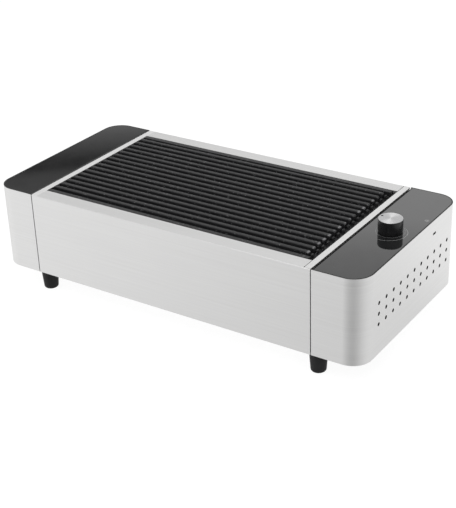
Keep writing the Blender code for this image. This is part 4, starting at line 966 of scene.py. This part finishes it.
def makeSeal(name, node, glassNode, side, beadTop, finish):
    lap = sealLook["lap"]
    seal = refinedCopy(name, node, lap, 1)
    lo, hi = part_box(node)
    seam = hi.x if side < 0 else lo.x
    glassLo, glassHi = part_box(glassNode)
    glass = glassHi.x if side < 0 else glassLo.x
    x0, x1 = sorted((seam, glass - side * sealLook["gap"]))
    bead = addBlock("sealBead", (x0, -sealLook["end"], hi.z - lap), (x1, sealLook["end"], beadTop))
    roundEdges(bead, lambda e: min(v.co.z for v in e.verts) > beadTop - lap, sealLook["round"], 3)
    smooth(bead)
    joinAll(seal, [bead])
    settle(seal, "housing", [node], finish)


makeSeal("leftSeal", "left_panel_seal", "left_panel", -1, sealLook["leftTop"], greyPutty)
# the right seal's near black stands partly for the groove's shadow: painted shade
makeSeal("rightSeal", "right_panel_seal", "right_panel", 1, sealLook["rightTop"], foamSealGrooveShade)


# Cast grill grid: one rib modelled and copied, low bars across the ends

gridLook = {
    "ribs": 16, "wide": 0.0066, "pitch": 0.01346, "firstY": -0.10095,
    "left": -0.2167, "nose": 0.1996, "right": 0.2061,
    "top": 0.1571, "root": 0.1476, "floor": 0.1436,
    "crown": 0.0013, "noseRound": 0.0026, "leftRound": 0.0030,
    "frameWide": 0.0076, "half": 0.1177, "frameTop": 0.156,
    "endBar": 0.0065, "leftBarTop": 0.1476, "rightBarTop": 0.1496,
    "bumpX": 0.2030, "bumpTop": 0.1550, "bumpLong": 0.0036, "bumpShare": 0.8, "bumpRound": 0.0018,
    "crossX": (-0.0737, 0.0630), "crossWide": 0.006, "barRound": 0.0008, "barLap": 0.002,
    "leanShare": 0.95, "leanDepth": 0.004, "near": 0.0001,
}


def topEdge(edge, top):
    return min(v.co.z for v in edge.verts) > top - gridLook["near"]


def gridBar(low, high, top):
    # a bar from the grid's underside up to a height, its upper edges rounded
    bar = addBlock("gridBar", (*low, gridLook["floor"]), (*high, top))
    roundEdges(bar, lambda e: topEdge(e, top), gridLook["barRound"], 3)
    return bar


def makeGrid():
    g = gridLook
    half = g["wide"] / 2
    y = g["firstY"]
    rib = addBlock("castGrid", (g["left"], y - half, g["floor"]), (g["nose"], y + half, g["top"]))

    def noseEdge(edge):
        return min(v.co.x for v in edge.verts) > g["nose"] - g["near"] and (
            min(v.co.z for v in edge.verts) > g["top"] - g["near"])
    roundEdges(rib, noseEdge, g["noseRound"], 6)

    def leftEdge(edge):
        return max(v.co.x for v in edge.verts) < g["left"] + g["near"] and (
            min(v.co.z for v in edge.verts) > g["top"] - g["near"])
    roundEdges(rib, leftEdge, g["leftRound"], 6)

    def upperLine(edge):
        low = min(v.co.z for v in edge.verts)
        flat = abs(edge.verts[0].co.y - edge.verts[1].co.y) < 0.00001
        return flat and low > g["top"] - g["leftRound"] - g["near"] and edge.calc_face_angle(0) > 1.0
    roundEdges(rib, upperLine, g["crown"], 4)
    # sides lean in a little towards the top, as a casting's do
    pick(rib, "VERT", lambda v: v.co.z > g["top"] - g["leanDepth"])
    bpy.ops.transform.resize(value=(1, g["leanShare"], 1), center_override=(0, y, g["top"]))
    leave()
    bumpHalf = half * g["bumpShare"]
    bump = addBlock("gridBump", (g["bumpX"] - g["bumpLong"] / 2, y - bumpHalf, g["root"]),
                    (g["bumpX"] + g["bumpLong"] / 2, y + bumpHalf, g["bumpTop"]))
    roundEdges(bump, lambda e: topEdge(e, g["bumpTop"]) or edgeAlong(2)(e), g["bumpRound"], 4)
    steps = [(0, i * g["pitch"], 0) for i in range(1, g["ribs"])]
    parts = copyAlong(rib, steps) + copyAlong(bump, steps) + [bump]
    for side in (-1, 1):
        outer, inner = side * g["half"], side * (g["half"] - g["frameWide"])
        parts.append(gridBar((g["left"], min(outer, inner)), (g["right"], max(outer, inner)), g["frameTop"]))
    inside = g["half"] - g["barLap"]
    for x0, x1, top in ((g["left"], g["left"] + g["endBar"], g["leftBarTop"]),
                        (g["right"] - g["endBar"], g["right"], g["rightBarTop"])):
        parts.append(gridBar((x0, -inside), (x1, inside), top))
    for x in g["crossX"]:
        parts.append(gridBar((x - g["crossWide"] / 2, -inside), (x + g["crossWide"] / 2, inside), g["root"]))
    joinAll(rib, parts)
    smooth(rib, 40)
    settle(rib, "grid", ["grill_grid"], castEnamel)


makeGrid()


# Control knob: black side, spun metal disc, a small dimple as its pointer

knobShape = {"radius": 0.01635, "low": 0.1566, "high": 0.1750, "disc": 0.0161, "discThick": 0.0008,
             "dimpleDeep": 0.0007, "foot": 0.0022, "gap": 0.0001, "rim": 0.0006, "step": 0.0002,
             "groove": 0.0003, "notch": 0.0004, "well": 0.0100, "wellDeep": 0.002, "bore": 0.0032,
             "boreLow": 0.001, "sleeve": 0.0055, "sleeveHigh": 0.0105, "inner": 0.0143, "skirt": 0.0145,
             "rings": (0.85, 0.7, 0.55, 0.4, 0.2, 0)}


def makeKnob():
    k = knobShape
    x, y = knobLook["axis"]
    r, low = k["radius"], k["low"]
    high = k["high"] - k["discThick"] - k["gap"]
    foot = low + k["foot"]
    waist, lower = r - k["rim"], r - k["step"]
    body = [(k["skirt"], low), (waist, low), (lower, low + k["notch"]),
            (lower, foot - k["groove"] - k["step"]), (waist, foot - k["groove"]), (waist, foot),
            (r, foot + k["notch"])]
    body += arcPoints(waist, high - k["step"], k["rim"], 0, 70, 4)
    wellFloor, boreFoot, sleeveTop = high - k["wellDeep"], low + k["boreLow"], low + k["sleeveHigh"]
    body += [(k["well"], high), (k["well"], wellFloor), (k["bore"], wellFloor), (k["bore"], boreFoot),
             (k["sleeve"], boreFoot), (k["sleeve"], sleeveTop), (k["inner"], sleeveTop), (k["skirt"], low)]
    turned = spinProfile("knobBody", body, (x, y, 0), 96)
    smooth(turned, 30)
    settle(turned, "knob", ["knob_body"], knobBlack)
    top, under = k["high"], k["high"] - k["discThick"]
    profile = [(0, under), (k["disc"] - k["step"], under), (k["disc"], under + k["step"])]
    profile += arcPoints(k["disc"] - k["notch"], top - k["notch"], k["notch"], 0, 90, 4)
    profile += [(k["disc"] * share, top) for share in k["rings"]]
    disc = spinProfile("knobDisc", profile, (x, y, 0), 96)
    bpy.ops.object.select_all(action="DESELECT")
    hollow = knobLook["dimpleRadius"]
    ballRadius = (hollow ** 2 + k["dimpleDeep"] ** 2) / (2 * k["dimpleDeep"])
    px, py = knobLook["dimple"]
    bpy.ops.mesh.primitive_uv_sphere_add(segments=48, ring_count=24, radius=ballRadius,
                                         location=(x + px, y + py, top + ballRadius - k["dimpleDeep"]))
    ball = bpy.context.object
    applyPlace(ball)
    cutAway(disc, ball)
    smooth(disc, 25)
    settle(disc, "knob", ["knob_cap"], knobMetal)


makeKnob()


# Tapered rubber feet with a screw well in the sole

footShape = {"topRadius": 0.0128, "soleRadius": 0.0103, "edge": 0.0035, "high": 0.0342, "well": 0.0045,
             "wellDeep": 0.012, "bore": 0.0023, "lead": 0.0006, "headEdge": 0.001}


def makeFeet():
    f = footShape
    for node in ("foot_front_left", "foot_front_right", "foot_back_left", "foot_back_right"):
        lo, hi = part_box(node)
        centre = ((lo.x + hi.x) / 2, (lo.y + hi.y) / 2, 0)
        lean = (f["topRadius"] - f["soleRadius"]) / f["high"]
        edge = f["edge"]
        side = f["soleRadius"] + lean * edge
        lead = f["lead"]
        points = [(f["well"], lead), (f["well"] + lead, 0), (side - edge, 0)]
        points += arcPoints(side - edge, edge, edge, -80, 0, 8)
        head = f["headEdge"]
        points += [(f["topRadius"] - lean * head, f["high"] - head), (f["topRadius"] - lead, f["high"]),
                   (f["bore"], f["high"]), (f["bore"], f["wellDeep"]), (f["well"], f["wellDeep"]),
                   (f["well"], lead)]
        foot = spinProfile("foot" + node.title().replace("_", "")[4:], points, centre, 64)
        smooth(foot, 30)
        settle(foot, "housing", [node], footRubber)


makeFeet()


# Bowl, tray and lid, folded from sheet

for name, node, body, slot, finish in (("fireBowl", "fire_bowl", "bowl", "steel", innerSteel),
                                       ("gelTray", "gel_tray", "tray", "steel", innerSteel),
                                       ("basketLid", "basket_lid", "lid", "coal_steel", heatedSteel)):
    settle(refinedCopy(name, node, 0.0003), body, [node], finish)


# What keeps its CAD shape

finishNodes(["base_plate", "left_bulkhead", "bowl_ledge", "collar_front", "collar_back", "air_duct"],
            innerSteel)
finishNodes(["fan_frame", "fan_impeller", "battery_box", "battery_door"], blackPlastic)
finishNodes(["charcoal_basket"], heatedSteel)
finishNodes(["fan_motor"], motorCopper)
finishNodes(["control_board"], boardGreen)
finishNodes(["battery_cell_%d" % i for i in range(1, 5)], cellSleeve)
finishNodes([n for n in nodes if "screw" in n], zincScrew)
finishNodes(["fan_shaft", "potentiometer_body", "potentiometer_shaft", "potentiometer_nut",
             "battery_contact_left", "battery_contact_right", "power_socket"], zincScrew)
print("CAD nodes finished")
